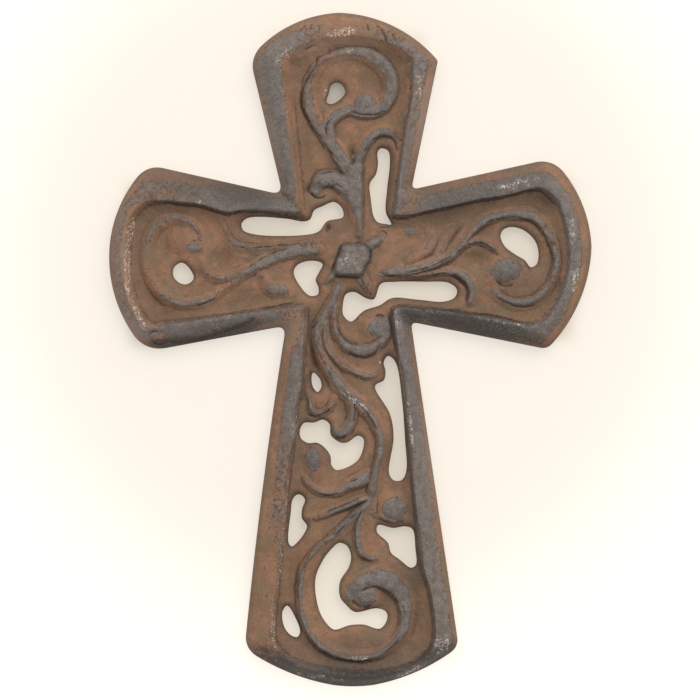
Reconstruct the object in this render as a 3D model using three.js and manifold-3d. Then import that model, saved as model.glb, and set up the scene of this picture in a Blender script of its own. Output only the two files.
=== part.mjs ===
// Cast iron wall cross: one casting with flared arms, a raised rim and pierced scrollwork.
// Millimetres. +Z is up, the front faces -Y and the flat back lies on the plane y = 0.
// The origin is on the back, behind the boss at the crossing.
// Everything is drawn in plan, as (x, z) seen from the front, with heights above the back.

import * as THREE from 'three';
import { mergeVertices } from 'three/addons/utils/BufferGeometryUtils.js';
import Module from 'manifold-3d';

const wasm = await Module();
wasm.setup();

// Driving dimensions
const FIELD_HEIGHT = 5.0;
const RIM_HEIGHT = 9.2;
const SCROLL_RISE = 3.0;
const LEAF_RISE = 2.3;
const BUD_RISE = 3.4;
const BOSS_RISE = 4.4;
const ROOT_DEPTH = 1.2;
const RIB_STEP = 3.6;
const RIB_SHORTEST_STEPS = 4;
const RIB_END_HEIGHT = 0.35;
const RIB_END_SHARE = 0.08;
const DOME_SIDES = 12;
const CORNER_STEPS = 3;
const ARC_STEPS = 6;
const TIP_TIGHTENING = 0.7;
const CROTCH_EASING = 0.25;
const SHARPEST_ROUND = 0.6;
const PIERCING_STEPS = 2;
const PIERCING_OVERSHOOT = 2;

// A rib across its width, in half widths from the centreline and shares of its rise.
const RIB_FOOT = 1.6;
const RIB_SHOULDER = 0.7;
const RIB_SHOULDER_HEIGHT = 0.75;

// A dome from its foot to its crown: shares of its size and of its rise.
const DOME_PROFILE = [
  [1.0, 0.4],
  [0.72, 0.85],
  [0.3, 1],
];
const DOME_FOOT = 1.12;

// The rim across its width: how far in from the outline, and how high above the back.
const RIM_PROFILE = [
  [0, 0],
  [0, 4.2],
  [0.7, 6.2],
  [2.6, 7.8],
  [5.2, 8.8],
  [7.4, RIM_HEIGHT],
  [8.3, 8.5],
  [9.4, 6.4],
  [10.4, FIELD_HEIGHT],
];

// The outline, clockwise from the inner corner between the left and top arms.
// x and z of each corner, how far it is rounded, and how far the edge after it bows out.
const OUTLINE = [
  { at: [-23.9, 24.0], round: 4.5, bow: 0 },
  { at: [-35.2, 73.4], round: 4.0, bow: 3.6 },
  { at: [-3.0, 88.9], round: 0, bow: 4.2 },
  { at: [32.1, 71.2], round: 1.4, bow: 0 },
  { at: [22.1, 25.3], round: 2.4, bow: 0 },
  { at: [72.3, 35.7], round: 6.0, bow: 3.4 },
  { at: [86.3, 4.0], round: 0, bow: 3.8 },
  { at: [69.9, -32.4], round: 2.6, bow: 0 },
  { at: [21.3, -22.0], round: 2.4, bow: 0 },
  { at: [36.9, -138.4], round: 3.4, bow: 3.0 },
  { at: [-1.0, -152.6], round: 0, bow: 2.8 },
  { at: [-39.7, -138.0], round: 5.0, bow: 0.9 },
  { at: [-23.4, -22.8], round: 4.0, bow: 0 },
  { at: [-73.2, -31.4], round: 7.0, bow: 3.8 },
  { at: [-86.4, 4.0], round: 0, bow: 3.5 },
  { at: [-71.8, 35.4], round: 5.5, bow: 0 },
];

// Points on a curl: its radius shrinks from one end of the sweep to the other.
function curl({ centre, radius, angle, power, steps }) {
  const points = [];
  for (let i = 0; i <= steps; i++) {
    const u = i / steps;
    const r = radius[0] + (radius[1] - radius[0]) * u ** power;
    const a = THREE.MathUtils.degToRad(angle[0] + (angle[1] - angle[0]) * u);
    points.push([centre[0] + r * Math.cos(a), centre[1] + r * Math.sin(a)]);
  }
  return points;
}

// The raised scrolls: centreline points, and the half width at the root, middle and tip.
const SCROLLS = {
  top_scroll: {
    width: [1.5, 1.5, 1.6],
    line: [
      [0.2, 31.1], [-5.4, 40.5], [-9.9, 46.6], [-13.4, 53.1], [-14.8, 58.9], [-14, 64.9],
      [-9.6, 71.3], [-3.5, 74.3], [2.6, 74.9], [7.9, 73.6], [12.2, 70.7], [15, 66], [15.6, 60.6],
      [13.4, 56], [9.8, 53.5], [6.2, 52.7], [1.6, 53.5],
    ],
  },
  left_scroll: {
    width: [1.2, 1.6, 1.3],
    line: [
      [-28.1, 0], [-33.1, -2.8], [-39.3, -7.7], [-46.1, -11.6], [-52.2, -14], [-58.3, -14.8],
      [-63.3, -13.8], [-67.9, -10.6], [-71.1, -5.9], [-73, -0.5], [-73.5, 4.9], [-72.3, 9.9],
      [-69, 14.5], [-64, 16.6], [-59.4, 15.6], [-56.2, 12.9], [-54.6, 8.6],
    ],
  },
  right_scroll: {
    width: [1.2, 1.6, 1.5],
    line: [
      [5, -4], [14.8, -3.6], [22, -2.8], [28.4, -1.3], [33.1, 1], [37.4, 4.5], [41.1, 9.1],
      [44.7, 11.9], [49.4, 14.2], [55.5, 15], [60.8, 15.3], [65.5, 14.2], [69.7, 10.7],
      [72.7, 5.8], [73.9, 0.1], [73.3, -4.9], [71.3, -9.5], [68.4, -12.5], [64.4, -15.2],
      [59.7, -15.8], [55.1, -14.1], [51.6, -10.7],
    ],
  },
  leg_stem: {
    width: [1.9, 1.9, 1.9],
    line: [
      [-3, -5], [-6.4, -13.9], [-9, -18.5], [-9.8, -23.8], [-8.4, -29.2], [-7.1, -38.9],
      [-4.7, -43.9], [3.1, -51.6], [6.6, -55.5], [9.1, -59.9], [10.4, -65.3], [9.6, -70.6],
      [8, -76], [5.9, -85.6], [3.7, -89.9],
    ],
  },
  foot_scroll: {
    width: [1.8, 1.6, 1.8],
    line: [
      [4, -87], [-4.6, -94.8], [-13, -101.1], [-17.2, -107.5],
      ...curl({ centre: [3.4, -121.9], radius: [23.1, 5.8], angle: [182, 515], power: 1.2, steps: 22 }),
    ],
  },
  left_branch: {
    width: [1.1, 1.3, 1.3],
    line: [
      [-5, 4.4], [-15.9, 4.5], [-21.6, 3.7], [-27, 1.8], [-31.3, -0.1], [-36, -2.7], [-40.7, -4.5],
      [-46, -5.1], [-50.3, -3.6], [-53.1, 0.3], [-54.1, 4.3],
    ],
  },
  top_stem: {
    width: [2.1, 2.1, 1.6],
    line: [
      [3.2, 3.9], [2.9, 20], [2.3, 27.2], [0.8, 34],
    ],
  },
  leg_hook: {
    width: [1.4, 1.8, 1.8],
    line: [
      [-6.9, -20.3], [-4.6, -26.4], [-1.3, -29.7], [2.3, -31.5], [5.8, -31.9], [9.1, -30.2],
      [11.6, -27.7], [12.7, -24.5],
    ],
  },
};

// Lower, narrower ribs: leaf edges, veins and tongues.
const LEAVES = {
  top_leaf: {
    width: [1.4, 1.3, 1.1],
    line: [
      [1.6, 53.5], [-3.1, 53], [-6.3, 50.9], [-7.1, 47.3], [-5, 43], [0.4, 35],
    ],
  },
  top_arch: {
    width: [1.1, 1.2, 1.1],
    line: [
      [2.7, 31.8], [3.2, 36.8], [5, 41.8], [8.6, 45], [12.9, 46], [17.6, 43.8],
    ],
  },
  top_crescent: {
    width: [1.6, 1.8, 1.1],
    line: [
      [-12.7, 24.9], [-10.2, 27.7], [-6.6, 29.6], [-3, 28.3], [-0.2, 24.7], [1.5, 20.4],
    ],
  },
  left_arch: {
    width: [1.0, 1.1, 1.1],
    line: [
      [-45.6, 17.1], [-45.5, 12.4], [-43.7, 7.7], [-39.8, 5.5], [-32.3, 5.6], [-22.3, 6.6],
      [-6, 8],
    ],
  },
  left_hook: {
    width: [0.9, 1.2, 1.7],
    line: [
      [-23.1, 0.7], [-27, -0.7], [-29.2, -3.9], [-29.6, -7.5], [-27, -10],
    ],
  },
  right_upper_leaf: {
    width: [1.1, 1.3, 1.3],
    line: [
      [30.9, -0.4], [34.6, 3.1], [38.9, 5.2], [43.9, 6], [48.2, 5.6], [51, 3.6], [53.1, 1.1],
    ],
  },
  right_lower_leaf: {
    width: [0.9, 1.2, 1.2],
    line: [
      [19.1, -6], [26.6, -5], [34.1, -4.2], [39.5, -5], [42.7, -7.7], [43.7, -11.3], [41.8, -14.9],
    ],
  },
  right_lobe: {
    width: [0.9, 1.2, 1.5],
    line: [
      [17.7, -2], [22.4, 1.1], [26.4, 4.3], [28.5, 7.9], [26.8, 11.1], [22.9, 10.3],
    ],
  },
  right_vein: {
    width: [0.9, 0.9, 0.9],
    line: [
      [32.4, 0.6], [33.9, 4.9], [34.6, 8.8], [36.1, 12.8],
    ],
  },
  leg_lobe: {
    width: [1.1, 1.3, 1.1],
    line: [
      [-7, -33.6], [-1.7, -37.9], [2.5, -40.3], [6.4, -40.7], [8.6, -39.3],
    ],
  },
  leg_loop: {
    width: [1.1, 1.2, 1.1],
    line: [
      [-16.2, -23], [-14.5, -29.9], [-15.3, -37.4], [-16.1, -44.5], [-15.5, -49.9], [-12.3, -53.5],
      [-8.7, -52.3], [-6.5, -49.3], [-5, -44.5],
    ],
  },
  leg_tongue: {
    width: [1.1, 1.6, 1.5],
    line: [
      [-4, -45.5], [-1.7, -51.1], [-0.7, -55.8], [-1.1, -59.4], [-3.9, -61.8],
    ],
  },
  leg_cradle: {
    width: [1.4, 1.6, 1.2],
    line: [
      [-17.6, -73.8], [-15.9, -79.2], [-12, -82], [-6.6, -82.4], [-2, -80.8], [2, -78.2],
      [7.5, -73.5],
    ],
  },
  leg_vein: {
    width: [1.1, 1.3, 1.1],
    line: [
      [6, -84], [0.5, -86.2], [-4.9, -88.1], [-10.3, -89.8], [-15.3, -91.7],
    ],
  },
  foot_tongue: {
    width: [1.3, 1.6, 1.4],
    line: [
      [3, -88], [1.3, -95.2], [1.7, -100.6], [4.4, -104.9], [7.7, -107.1],
    ],
  },
  foot_bridge: {
    width: [1.1, 1.3, 1.3],
    line: [
      [4.4, -89.9], [8.6, -91], [13.6, -92.8],
    ],
  },
  star_upper_right: {
    width: [1.6, 1.1, 0.5],
    line: [
      [2, 2.1], [7.8, 4.5], [12.8, 8.8],
    ],
  },
  star_lower_right: {
    width: [1.6, 1.1, 0.5],
    line: [
      [1.9, -1.8], [5.1, -7.9], [8.1, -13],
    ],
  },
  star_lower_left: {
    width: [1.6, 1.1, 0.5],
    line: [
      [-1.6, -1.1], [-6, -4.6], [-10.3, -8.8],
    ],
  },
  star_upper_left: {
    width: [1.6, 1.1, 0.5],
    line: [
      [-1.6, 1.8], [-4.7, 6.5], [-7.5, 11.5],
    ],
  },
};

// Domed buds in the eyes of the scrolls: centre, half length, half width and turn in degrees.
const BUDS = {
  top_bud: { at: [5.6, 56.5], half: [3.9, 3.0], turn: 15 },
  left_bud: { at: [-57.3, 8.3], half: [3.0, 2.6], turn: 0 },
  right_bud: { at: [55.8, -4.5], half: [5.4, 4.3], turn: 20 },
  hook_bud: { at: [10.2, -23.7], half: [3.4, 3.3], turn: 0 },
  cradle_bud: { at: [-14.7, -72.1], half: [3.6, 2.3], turn: -40 },
  foot_bud: { at: [2.2, -120.6], half: [4.4, 3.7], turn: 0 },
  bridge_bud: { at: [15.5, -88.8], half: [4.4, 3.4], turn: 0 },
};

// The boss at the crossing, a dome whose outline is drawn towards a rounded square.
const BOSS = { at: [0.4, 0.4], half: [7.0, 5.7], turn: 0, square: 0.18 };

// The pierced gaps, each a smooth closed outline.
const PIERCINGS = {
  top_eye: [
    [-4.3, 64.1], [-6.2, 63], [-6.9, 60.6], [-7.8, 57], [-6.2, 56.3], [-3.4, 57.6], [-1.1, 60.4],
    [-2.2, 63.2],
  ],
  top_slot: [
    [11.4, 40.3], [10.2, 38.9], [10.3, 34.9], [9.5, 31], [7.3, 27.8], [7.6, 21.7], [8.6, 15.6],
    [10, 13.8], [12.9, 13.1], [14.8, 12.9], [12.9, 17.4], [13.4, 25.2], [14.6, 35.9], [14, 39.4],
  ],
  left_slot: [
    [-5.6, 21.3], [-9.9, 19.8], [-12.8, 18.4], [-14.3, 15.2], [-16.8, 14.5], [-22.5, 15.5],
    [-36.5, 16], [-38.8, 14.1], [-38.3, 11.6], [-33.3, 9.9], [-15.1, 9.7], [-11.1, 10.9],
    [-8.2, 14.4], [-2.5, 15.8], [-2.8, 19],
  ],
  left_eye: [
    [-60.6, 0.3], [-63.2, -1.3], [-63.6, -4.2], [-61.8, -6.7], [-58.6, -7.5], [-56.2, -5.3],
    [-58.2, -1.2],
  ],
  left_nook: [
    [-12.7, 0.3], [-17, -0.1], [-19.5, -1.5], [-20.4, -4], [-16.8, -10.5], [-14.3, -12.3],
    [-11.8, -11.7], [-11.6, -9.2], [-12.6, -6.6], [-11.3, -3.8], [-10, -0.9],
  ],
  right_eye: [
    [57.6, 11.5], [54.7, 10.4], [53.8, 8.2], [55.3, 4.6], [58.9, 1.7], [62.4, -0.5], [64.5, -3],
    [66.7, -1.9], [67.4, 2.3], [66.1, 6.6], [62.2, 10.3],
  ],
  right_slot: [
    [15.5, -7.6], [10.8, -8.2], [8.2, -13.7], [5.4, -13.3], [1.1, -11], [-1.8, -11.8],
    [-2.9, -15.3], [-2.8, -19.3], [-0.1, -21.6], [4.6, -17.8], [10.3, -15.9], [14.7, -13.4],
    [24, -14.1], [33.3, -14.9], [37.2, -13.4], [38, -10.7], [35.1, -8.2], [26.6, -7.7],
  ],
  leg_right_slot: [
    [13, -34.1], [11.4, -36.3], [12, -39.5], [11.4, -42.7], [8.2, -44.8], [13.4, -54.9],
    [14.6, -63.2], [12.8, -76], [14.5, -78.7], [17.4, -78.6], [19, -75.4], [18.7, -64.3],
    [17.8, -50], [15.6, -36.3],
  ],
  leg_pip: [
    [-13.9, -39.7], [-14.5, -41.3], [-14, -44.9], [-12.4, -46.7], [-11, -44.9], [-11.5, -42.1],
  ],
  leg_window: [
    [-10.6, -56.6], [-13.8, -57.6], [-17.4, -57.7], [-19, -60.6], [-18.5, -63.3], [-16.1, -64.9],
    [-12.8, -64.9], [-10, -66.8], [-8.1, -69.7], [-7.8, -72.9], [-6.2, -74.7], [-1.9, -73.7],
    [1.8, -71.2], [3.6, -67.3], [3.8, -63.7], [1.9, -62.5], [-2.1, -64.9], [-4.6, -64.8],
    [-7.8, -62.2], [-8.3, -58.2],
  ],
  leg_left_slot: [
    [-20.2, -83.3], [-21.9, -85.2], [-22.6, -89.9], [-23.5, -100.6], [-22.3, -101.9],
    [-16.8, -94.9], [-18.6, -91.7], [-18.5, -88.5], [-17.4, -85.3], [-18.4, -83.7],
  ],
  leg_triangle: [
    [8.6, -94.6], [8.2, -97.1], [12.1, -101.1], [13.1, -104.6], [16.3, -107.2], [20.2, -110.1],
    [22, -109.1], [21.9, -103.3], [20.9, -96.2], [18.3, -95.2], [14, -95.7],
  ],
  foot_left_slot: [
    [-24.3, -123], [-26, -125.2], [-25.6, -130.3], [-23.4, -133.5], [-20.9, -134.4],
    [-19.8, -132.5], [-21.2, -127.8],
  ],
  foot_crescent: [
    [-5.4, -100.8], [-8.3, -103.1], [-11.2, -106.8], [-13.8, -112.5], [-14.2, -117.5],
    [-12.7, -125.4], [-10.5, -129.4], [-7.6, -131.9], [-1.9, -130.4], [3.1, -130.3], [8.8, -131.8],
    [11.4, -128.6], [11.1, -125.7], [7.9, -124.4], [0, -125.6], [-3.2, -123], [-5.3, -120.1],
    [-5.3, -114.8], [-2, -109.5], [-1.2, -105.5], [-2.6, -101.9],
  ],
};

// A closed solid from rings of [x, z, height] points, all with the same count, capped at both ends.
function loft(rings) {
  const count = rings[0].length;
  const faces = [];
  for (let r = 0; r < rings.length - 1; r++) {
    for (let i = 0; i < count; i++) {
      const a = r * count + i;
      const b = r * count + ((i + 1) % count);
      faces.push([a, b, b + count], [a, b + count, a + count]);
    }
  }
  for (const [a, b, c] of capFaces(rings[0])) {
    faces.push([c, b, a]);
  }
  const last = (rings.length - 1) * count;
  for (const [a, b, c] of capFaces(rings.at(-1))) {
    faces.push([last + a, last + b, last + c]);
  }
  const corners = rings.flat().map(([x, z, height]) => [x, -height, z]);
  return toSolid(corners.flat(), faces.flat());
}

// Triangles over one ring, in the plane that the ring lies in.
function capFaces(ring) {
  const [a, b, c] = [0, Math.floor(ring.length / 3), Math.floor((2 * ring.length) / 3)]
    .map((i) => new THREE.Vector3(...ring[i]));
  const across = b.clone().sub(a).normalize();
  const normal = across.clone().cross(c.clone().sub(a)).normalize();
  const up = normal.clone().cross(across);
  const flat = ring.map((point) => {
    const offset = new THREE.Vector3(...point).sub(a);
    return new THREE.Vector2(offset.dot(across), offset.dot(up));
  });
  return THREE.ShapeUtils.triangulateShape(flat, []);
}

function toSolid(positions, indices) {
  return new wasm.Manifold(new wasm.Mesh({
    numProp: 3,
    vertProperties: new Float32Array(positions),
    triVerts: new Uint32Array(indices),
  }));
}

// A three.js geometry as a solid, with its shared vertices merged.
function fromGeometry(geometry) {
  const bare = geometry.clone();
  bare.deleteAttribute('normal');
  bare.deleteAttribute('uv');
  const merged = mergeVertices(bare);
  return toSolid(merged.attributes.position.array, merged.index.array);
}

// The inward normal of an edge of the outline, at its start or its end.
function edgeNormal(from, to, bow, atEnd) {
  const along = to.clone().sub(from);
  const lean = 2 * Math.atan2(2 * bow, along.length());
  const turn = (atEnd ? -lean : lean) - Math.PI / 2;
  return along.normalize().rotateAround(new THREE.Vector2(), turn);
}

// The radius of the arc over a chord that bows out by a given height.
function arcRadius(chord, bow) {
  return (chord * chord) / (8 * bow) + bow / 2;
}

// The outline's corners moved inwards: straight edges stay parallel, bowed ones keep their centre.
function insetCorners(inset) {
  const corners = OUTLINE.map(({ at }) => new THREE.Vector2(...at));
  const count = corners.length;
  const normals = corners.map((corner, i) => {
    const next = corners[(i + 1) % count];
    return [false, true].map((atEnd) => edgeNormal(corner, next, OUTLINE[i].bow, atEnd));
  });
  const moved = corners.map((corner, i) => {
    const entry = normals[(i + count - 1) % count][1];
    const exit = normals[i][0];
    return corner.clone().addScaledVector(entry.clone().add(exit), inset / (1 + entry.dot(exit)));
  });
  return moved.map((at, i) => {
    const { bow, round } = OUTLINE[i];
    const next = (i + 1) % count;
    const entry = normals[(i + count - 1) % count][1];
    const isTip = entry.cross(normals[i][0]) < 0;
    const movedRound = isTip ? round - inset * TIP_TIGHTENING : round + inset * CROTCH_EASING;
    const corner = { at, bow, round: round === 0 ? 0 : Math.max(movedRound, SHARPEST_ROUND) };
    if (bow > 0) {
      const radius = arcRadius(corners[i].distanceTo(corners[next]), bow) - inset;
      const half = at.distanceTo(moved[next]) / 2;
      corner.bow = radius - Math.sqrt(radius * radius - half * half);
    }
    return corner;
  });
}

// One edge of the outline as points, from a corner to the next, both included.
function edgePoints(from, to, bow) {
  if (bow === 0) {
    return [from, to];
  }
  const chord = from.distanceTo(to);
  const radius = arcRadius(chord, bow);
  const inwards = edgeNormal(from, to, 0, false);
  const centre = from.clone().lerp(to, 0.5).addScaledVector(inwards, radius - bow);
  const sweep = 2 * Math.asin(chord / 2 / radius);
  const points = [];
  for (let i = 0; i <= ARC_STEPS; i++) {
    points.push(from.clone().rotateAround(centre, (-sweep * i) / ARC_STEPS));
  }
  return points;
}

function runLength(points) {
  return points.slice(1).reduce((sum, point, i) => sum + point.distanceTo(points[i]), 0);
}

// The point at a distance from the start of a run of points.
function pointAlong(points, distance) {
  let left = distance;
  for (let i = 0; i < points.length - 1; i++) {
    const step = points[i].distanceTo(points[i + 1]);
    if (left <= step) {
      return points[i].clone().lerp(points[i + 1], left / step);
    }
    left -= step;
  }
  return points.at(-1);
}

// The outline at an inset as an anticlockwise loop of [x, z], with its corners rounded.
// Every inset gives the same number of points, so that loops at two insets can be joined.
function outlineLoop(inset) {
  const corners = insetCorners(inset);
  const count = corners.length;
  const runs = corners.map(({ at, bow }, i) => edgePoints(at, corners[(i + 1) % count].at, bow));
  const loop = [];
  for (let i = 0; i < count; i++) {
    const { at, bow, round } = corners[i];
    if (round === 0) {
      loop.push(at);
    } else {
      const before = runs[(i + count - 1) % count].slice().reverse();
      const [entry, exit] = [pointAlong(before, round), pointAlong(runs[i], round)];
      const bend = new THREE.QuadraticBezierCurve(entry, at, exit);
      loop.push(...bend.getPoints(CORNER_STEPS));
    }
    const straight = runLength(runs[i]) - round - corners[(i + 1) % count].round;
    for (let k = 1; bow > 0 && k < ARC_STEPS; k++) {
      loop.push(pointAlong(runs[i], round + (straight * k) / ARC_STEPS));
    }
  }
  return loop.reverse().map((point) => [point.x, point.y]);
}

// A smooth curve through points in plan, open or closed.
function planCurve(points, closed) {
  const places = points.map(([x, z]) => new THREE.Vector3(x, z, 0));
  return new THREE.CatmullRomCurve3(places, closed, 'centripetal');
}

// Places in equal steps along a smooth line, each with its tangent and its share of the length.
function smoothLine(points, step) {
  const curve = planCurve(points, false);
  const count = Math.max(RIB_SHORTEST_STEPS, Math.round(curve.getLength() / step));
  return curve.getSpacedPoints(count).map((place, i) => {
    const share = i / count;
    return { place, tangent: curve.getTangentAt(share), share };
  });
}

// A stroke's half width at a share of its length.
function halfWidth([root, middle, tip], share) {
  return share < 0.5
    ? THREE.MathUtils.lerp(root, middle, share * 2)
    : THREE.MathUtils.lerp(middle, tip, share * 2 - 1);
}

// A rib along a line: a low roof section with shoulders, which sinks towards the field at its ends.
function rib({ line, width }, rise) {
  const foot = FIELD_HEIGHT - ROOT_DEPTH;
  const rings = smoothLine(line, RIB_STEP).map(({ place, tangent, share }) => {
    const half = halfWidth(width, share);
    const nearestEnd = Math.min(share, 1 - share);
    const lift = rise * Math.min(1, RIB_END_HEIGHT + nearestEnd / RIB_END_SHARE);
    const shoulder = FIELD_HEIGHT + lift * RIB_SHOULDER_HEIGHT;
    const section = [
      [half * RIB_FOOT, foot],
      [half * RIB_SHOULDER, shoulder],
      [0, FIELD_HEIGHT + lift],
      [-half * RIB_SHOULDER, shoulder],
      [-half * RIB_FOOT, foot],
    ];
    return section.map(([across, height]) => [
      place.x - tangent.y * across,
      place.y + tangent.x * across,
      height,
    ]);
  });
  return loft(rings);
}

// A dome on the field. A square share swells its outline towards a rounded rectangle.
function dome({ at, half, turn, square = 0 }, rise) {
  const levels = [[DOME_FOOT, -ROOT_DEPTH / rise], ...DOME_PROFILE];
  const rings = levels.map(([size, level]) => {
    const ring = [];
    for (let i = 0; i < DOME_SIDES; i++) {
      const angle = (2 * Math.PI * i) / DOME_SIDES;
      const swell = size * (1 + square * (1 - Math.cos(4 * angle)) / 2);
      const point = new THREE.Vector2(half[0] * Math.cos(angle), half[1] * Math.sin(angle));
      point.multiplyScalar(swell).rotateAround(new THREE.Vector2(), THREE.MathUtils.degToRad(turn));
      ring.push([at[0] + point.x, at[1] + point.y, FIELD_HEIGHT + rise * level]);
    }
    return ring;
  });
  return loft(rings);
}

// A gap right through: its smooth outline, extruded past both faces.
function gap(points) {
  const edge = planCurve(points, true).getPoints(points.length * PIERCING_STEPS).slice(0, -1);
  const shape = new THREE.Shape(edge.map(({ x, y }) => new THREE.Vector2(x, y)));
  const depth = RIM_HEIGHT + 2 * PIERCING_OVERSHOOT;
  const geometry = new THREE.ExtrudeGeometry(shape, { depth, bevelEnabled: false });
  geometry.rotateX(Math.PI / 2);
  geometry.translate(0, PIERCING_OVERSHOOT, 0);
  return fromGeometry(geometry);
}

// The casting: rimmed body, ribs, buds and boss joined, then pierced.
function casting() {
  const bodyRings = RIM_PROFILE.map(([inset, height]) => {
    return outlineLoop(inset).map(([x, z]) => [x, z, height]);
  });
  let solid = loft(bodyRings);
  for (const scroll of Object.values(SCROLLS)) {
    solid = solid.add(rib(scroll, SCROLL_RISE));
  }
  for (const leaf of Object.values(LEAVES)) {
    solid = solid.add(rib(leaf, LEAF_RISE));
  }
  for (const bud of Object.values(BUDS)) {
    solid = solid.add(dome(bud, BUD_RISE));
  }
  solid = solid.add(dome(BOSS, BOSS_RISE));
  for (const points of Object.values(PIERCINGS)) {
    solid = solid.subtract(gap(points));
  }
  return solid;
}

function meshOf(name, solid, material) {
  const { vertProperties, triVerts } = solid.getMesh();
  const geometry = new THREE.BufferGeometry();
  geometry.setAttribute('position', new THREE.BufferAttribute(vertProperties, 3));
  geometry.setIndex(new THREE.BufferAttribute(triVerts, 1));
  geometry.computeVertexNormals();
  const mesh = new THREE.Mesh(geometry, material);
  mesh.name = name;
  return mesh;
}

const rustedIron = new THREE.MeshStandardMaterial({ color: 0x6b5444, roughness: 0.75, metalness: 0.35 });
const wallCross = new THREE.Group();
wallCross.add(meshOf('cross_casting', casting(), rustedIron));

export default wallCross;
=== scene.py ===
"""Cast iron wall cross with pierced scrollwork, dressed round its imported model.

Plan sizes are in millimetres, as (x, z) seen from the front, with heights above the flat back.
"""

import math
from collections import namedtuple

import bpy
import numpy as np
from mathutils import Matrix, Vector
from mathutils.geometry import delaunay_2d_cdt
from mathutils.kdtree import KDTree


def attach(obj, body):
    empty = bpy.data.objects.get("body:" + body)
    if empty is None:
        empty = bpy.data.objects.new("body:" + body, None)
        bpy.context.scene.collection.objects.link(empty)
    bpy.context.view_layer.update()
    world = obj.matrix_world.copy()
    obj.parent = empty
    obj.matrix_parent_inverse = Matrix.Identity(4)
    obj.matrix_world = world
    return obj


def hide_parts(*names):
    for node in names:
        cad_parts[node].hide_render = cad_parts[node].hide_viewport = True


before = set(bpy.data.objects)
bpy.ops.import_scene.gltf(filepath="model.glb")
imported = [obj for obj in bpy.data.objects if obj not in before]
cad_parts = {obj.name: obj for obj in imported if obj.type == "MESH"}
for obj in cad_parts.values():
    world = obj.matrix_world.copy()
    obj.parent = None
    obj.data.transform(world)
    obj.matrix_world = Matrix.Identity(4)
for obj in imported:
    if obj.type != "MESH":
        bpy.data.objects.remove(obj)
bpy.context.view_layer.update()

MM = 0.001

# Heights: the field between the strokes, the foot and the top of the rim, the rounded outer
# edge, the edges of the gaps, and the highest point of all.
FIELD = 4.3
RIM_FOOT = 5.0
RIM_TOP = 9.15
EDGE_TOP = 3.6
GAP_EDGE = 2.8
TOP = 9.36

# Spacing of the points: on the carved front and its lines, along the outer edge where
# distances are taken from it, along its sides, the strokes and the rim, and on the back.
FINE = 0.5
PLAIN = 1.2
EDGE_STEP = 0.25
STROKE_STEP = 0.7
RIM_STEP = 0.8
BACK_GRID = 3
CURVE_STEPS = 12  # from one given point of a curve to the next
RIM_BLEND = 4  # places to each side over which one run of the rim passes into the next

GAP_DRAFT = 0.9  # how far the iron slopes down towards a gap
COVE = 2.4  # how far the foot of the rim sweeps into the field
MOUND = 1.3  # how much higher the field is at the crossing
MOUND_SPREAD = 10  # round it
FILLET = 0.3  # between a form and the ground it stands on
SEAM_DEPTH = 0.55
FLAW_RISE = 0.45
BEVEL = 0.35  # how far the back is drawn in all round
BEVEL_TOP = 0.5  # where that begins

# Unevenness of the surface: how much, the size of its patches and the seed.
SWELLS = ((0.3, 14, 11), (0.16, 5, 12))
SKIN = ((0.07, 3.5, 21), (0.03, 1.1, 22))

# The rim from the outer edge (0) to its inner foot (1): share of the width, and height.
RIM_SECTION = [
    (0, EDGE_TOP), (0.03, 4.7), (0.1, 5.6), (0.2, 6.4), (0.3, 7.3), (0.42, 8.2), (0.56, 8.8),
    (0.7, RIM_TOP), (0.78, 9.1), (0.84, 8.3), (0.91, 6.8), (1, RIM_FOOT),
]
RIM_CREST = 0.74

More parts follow.
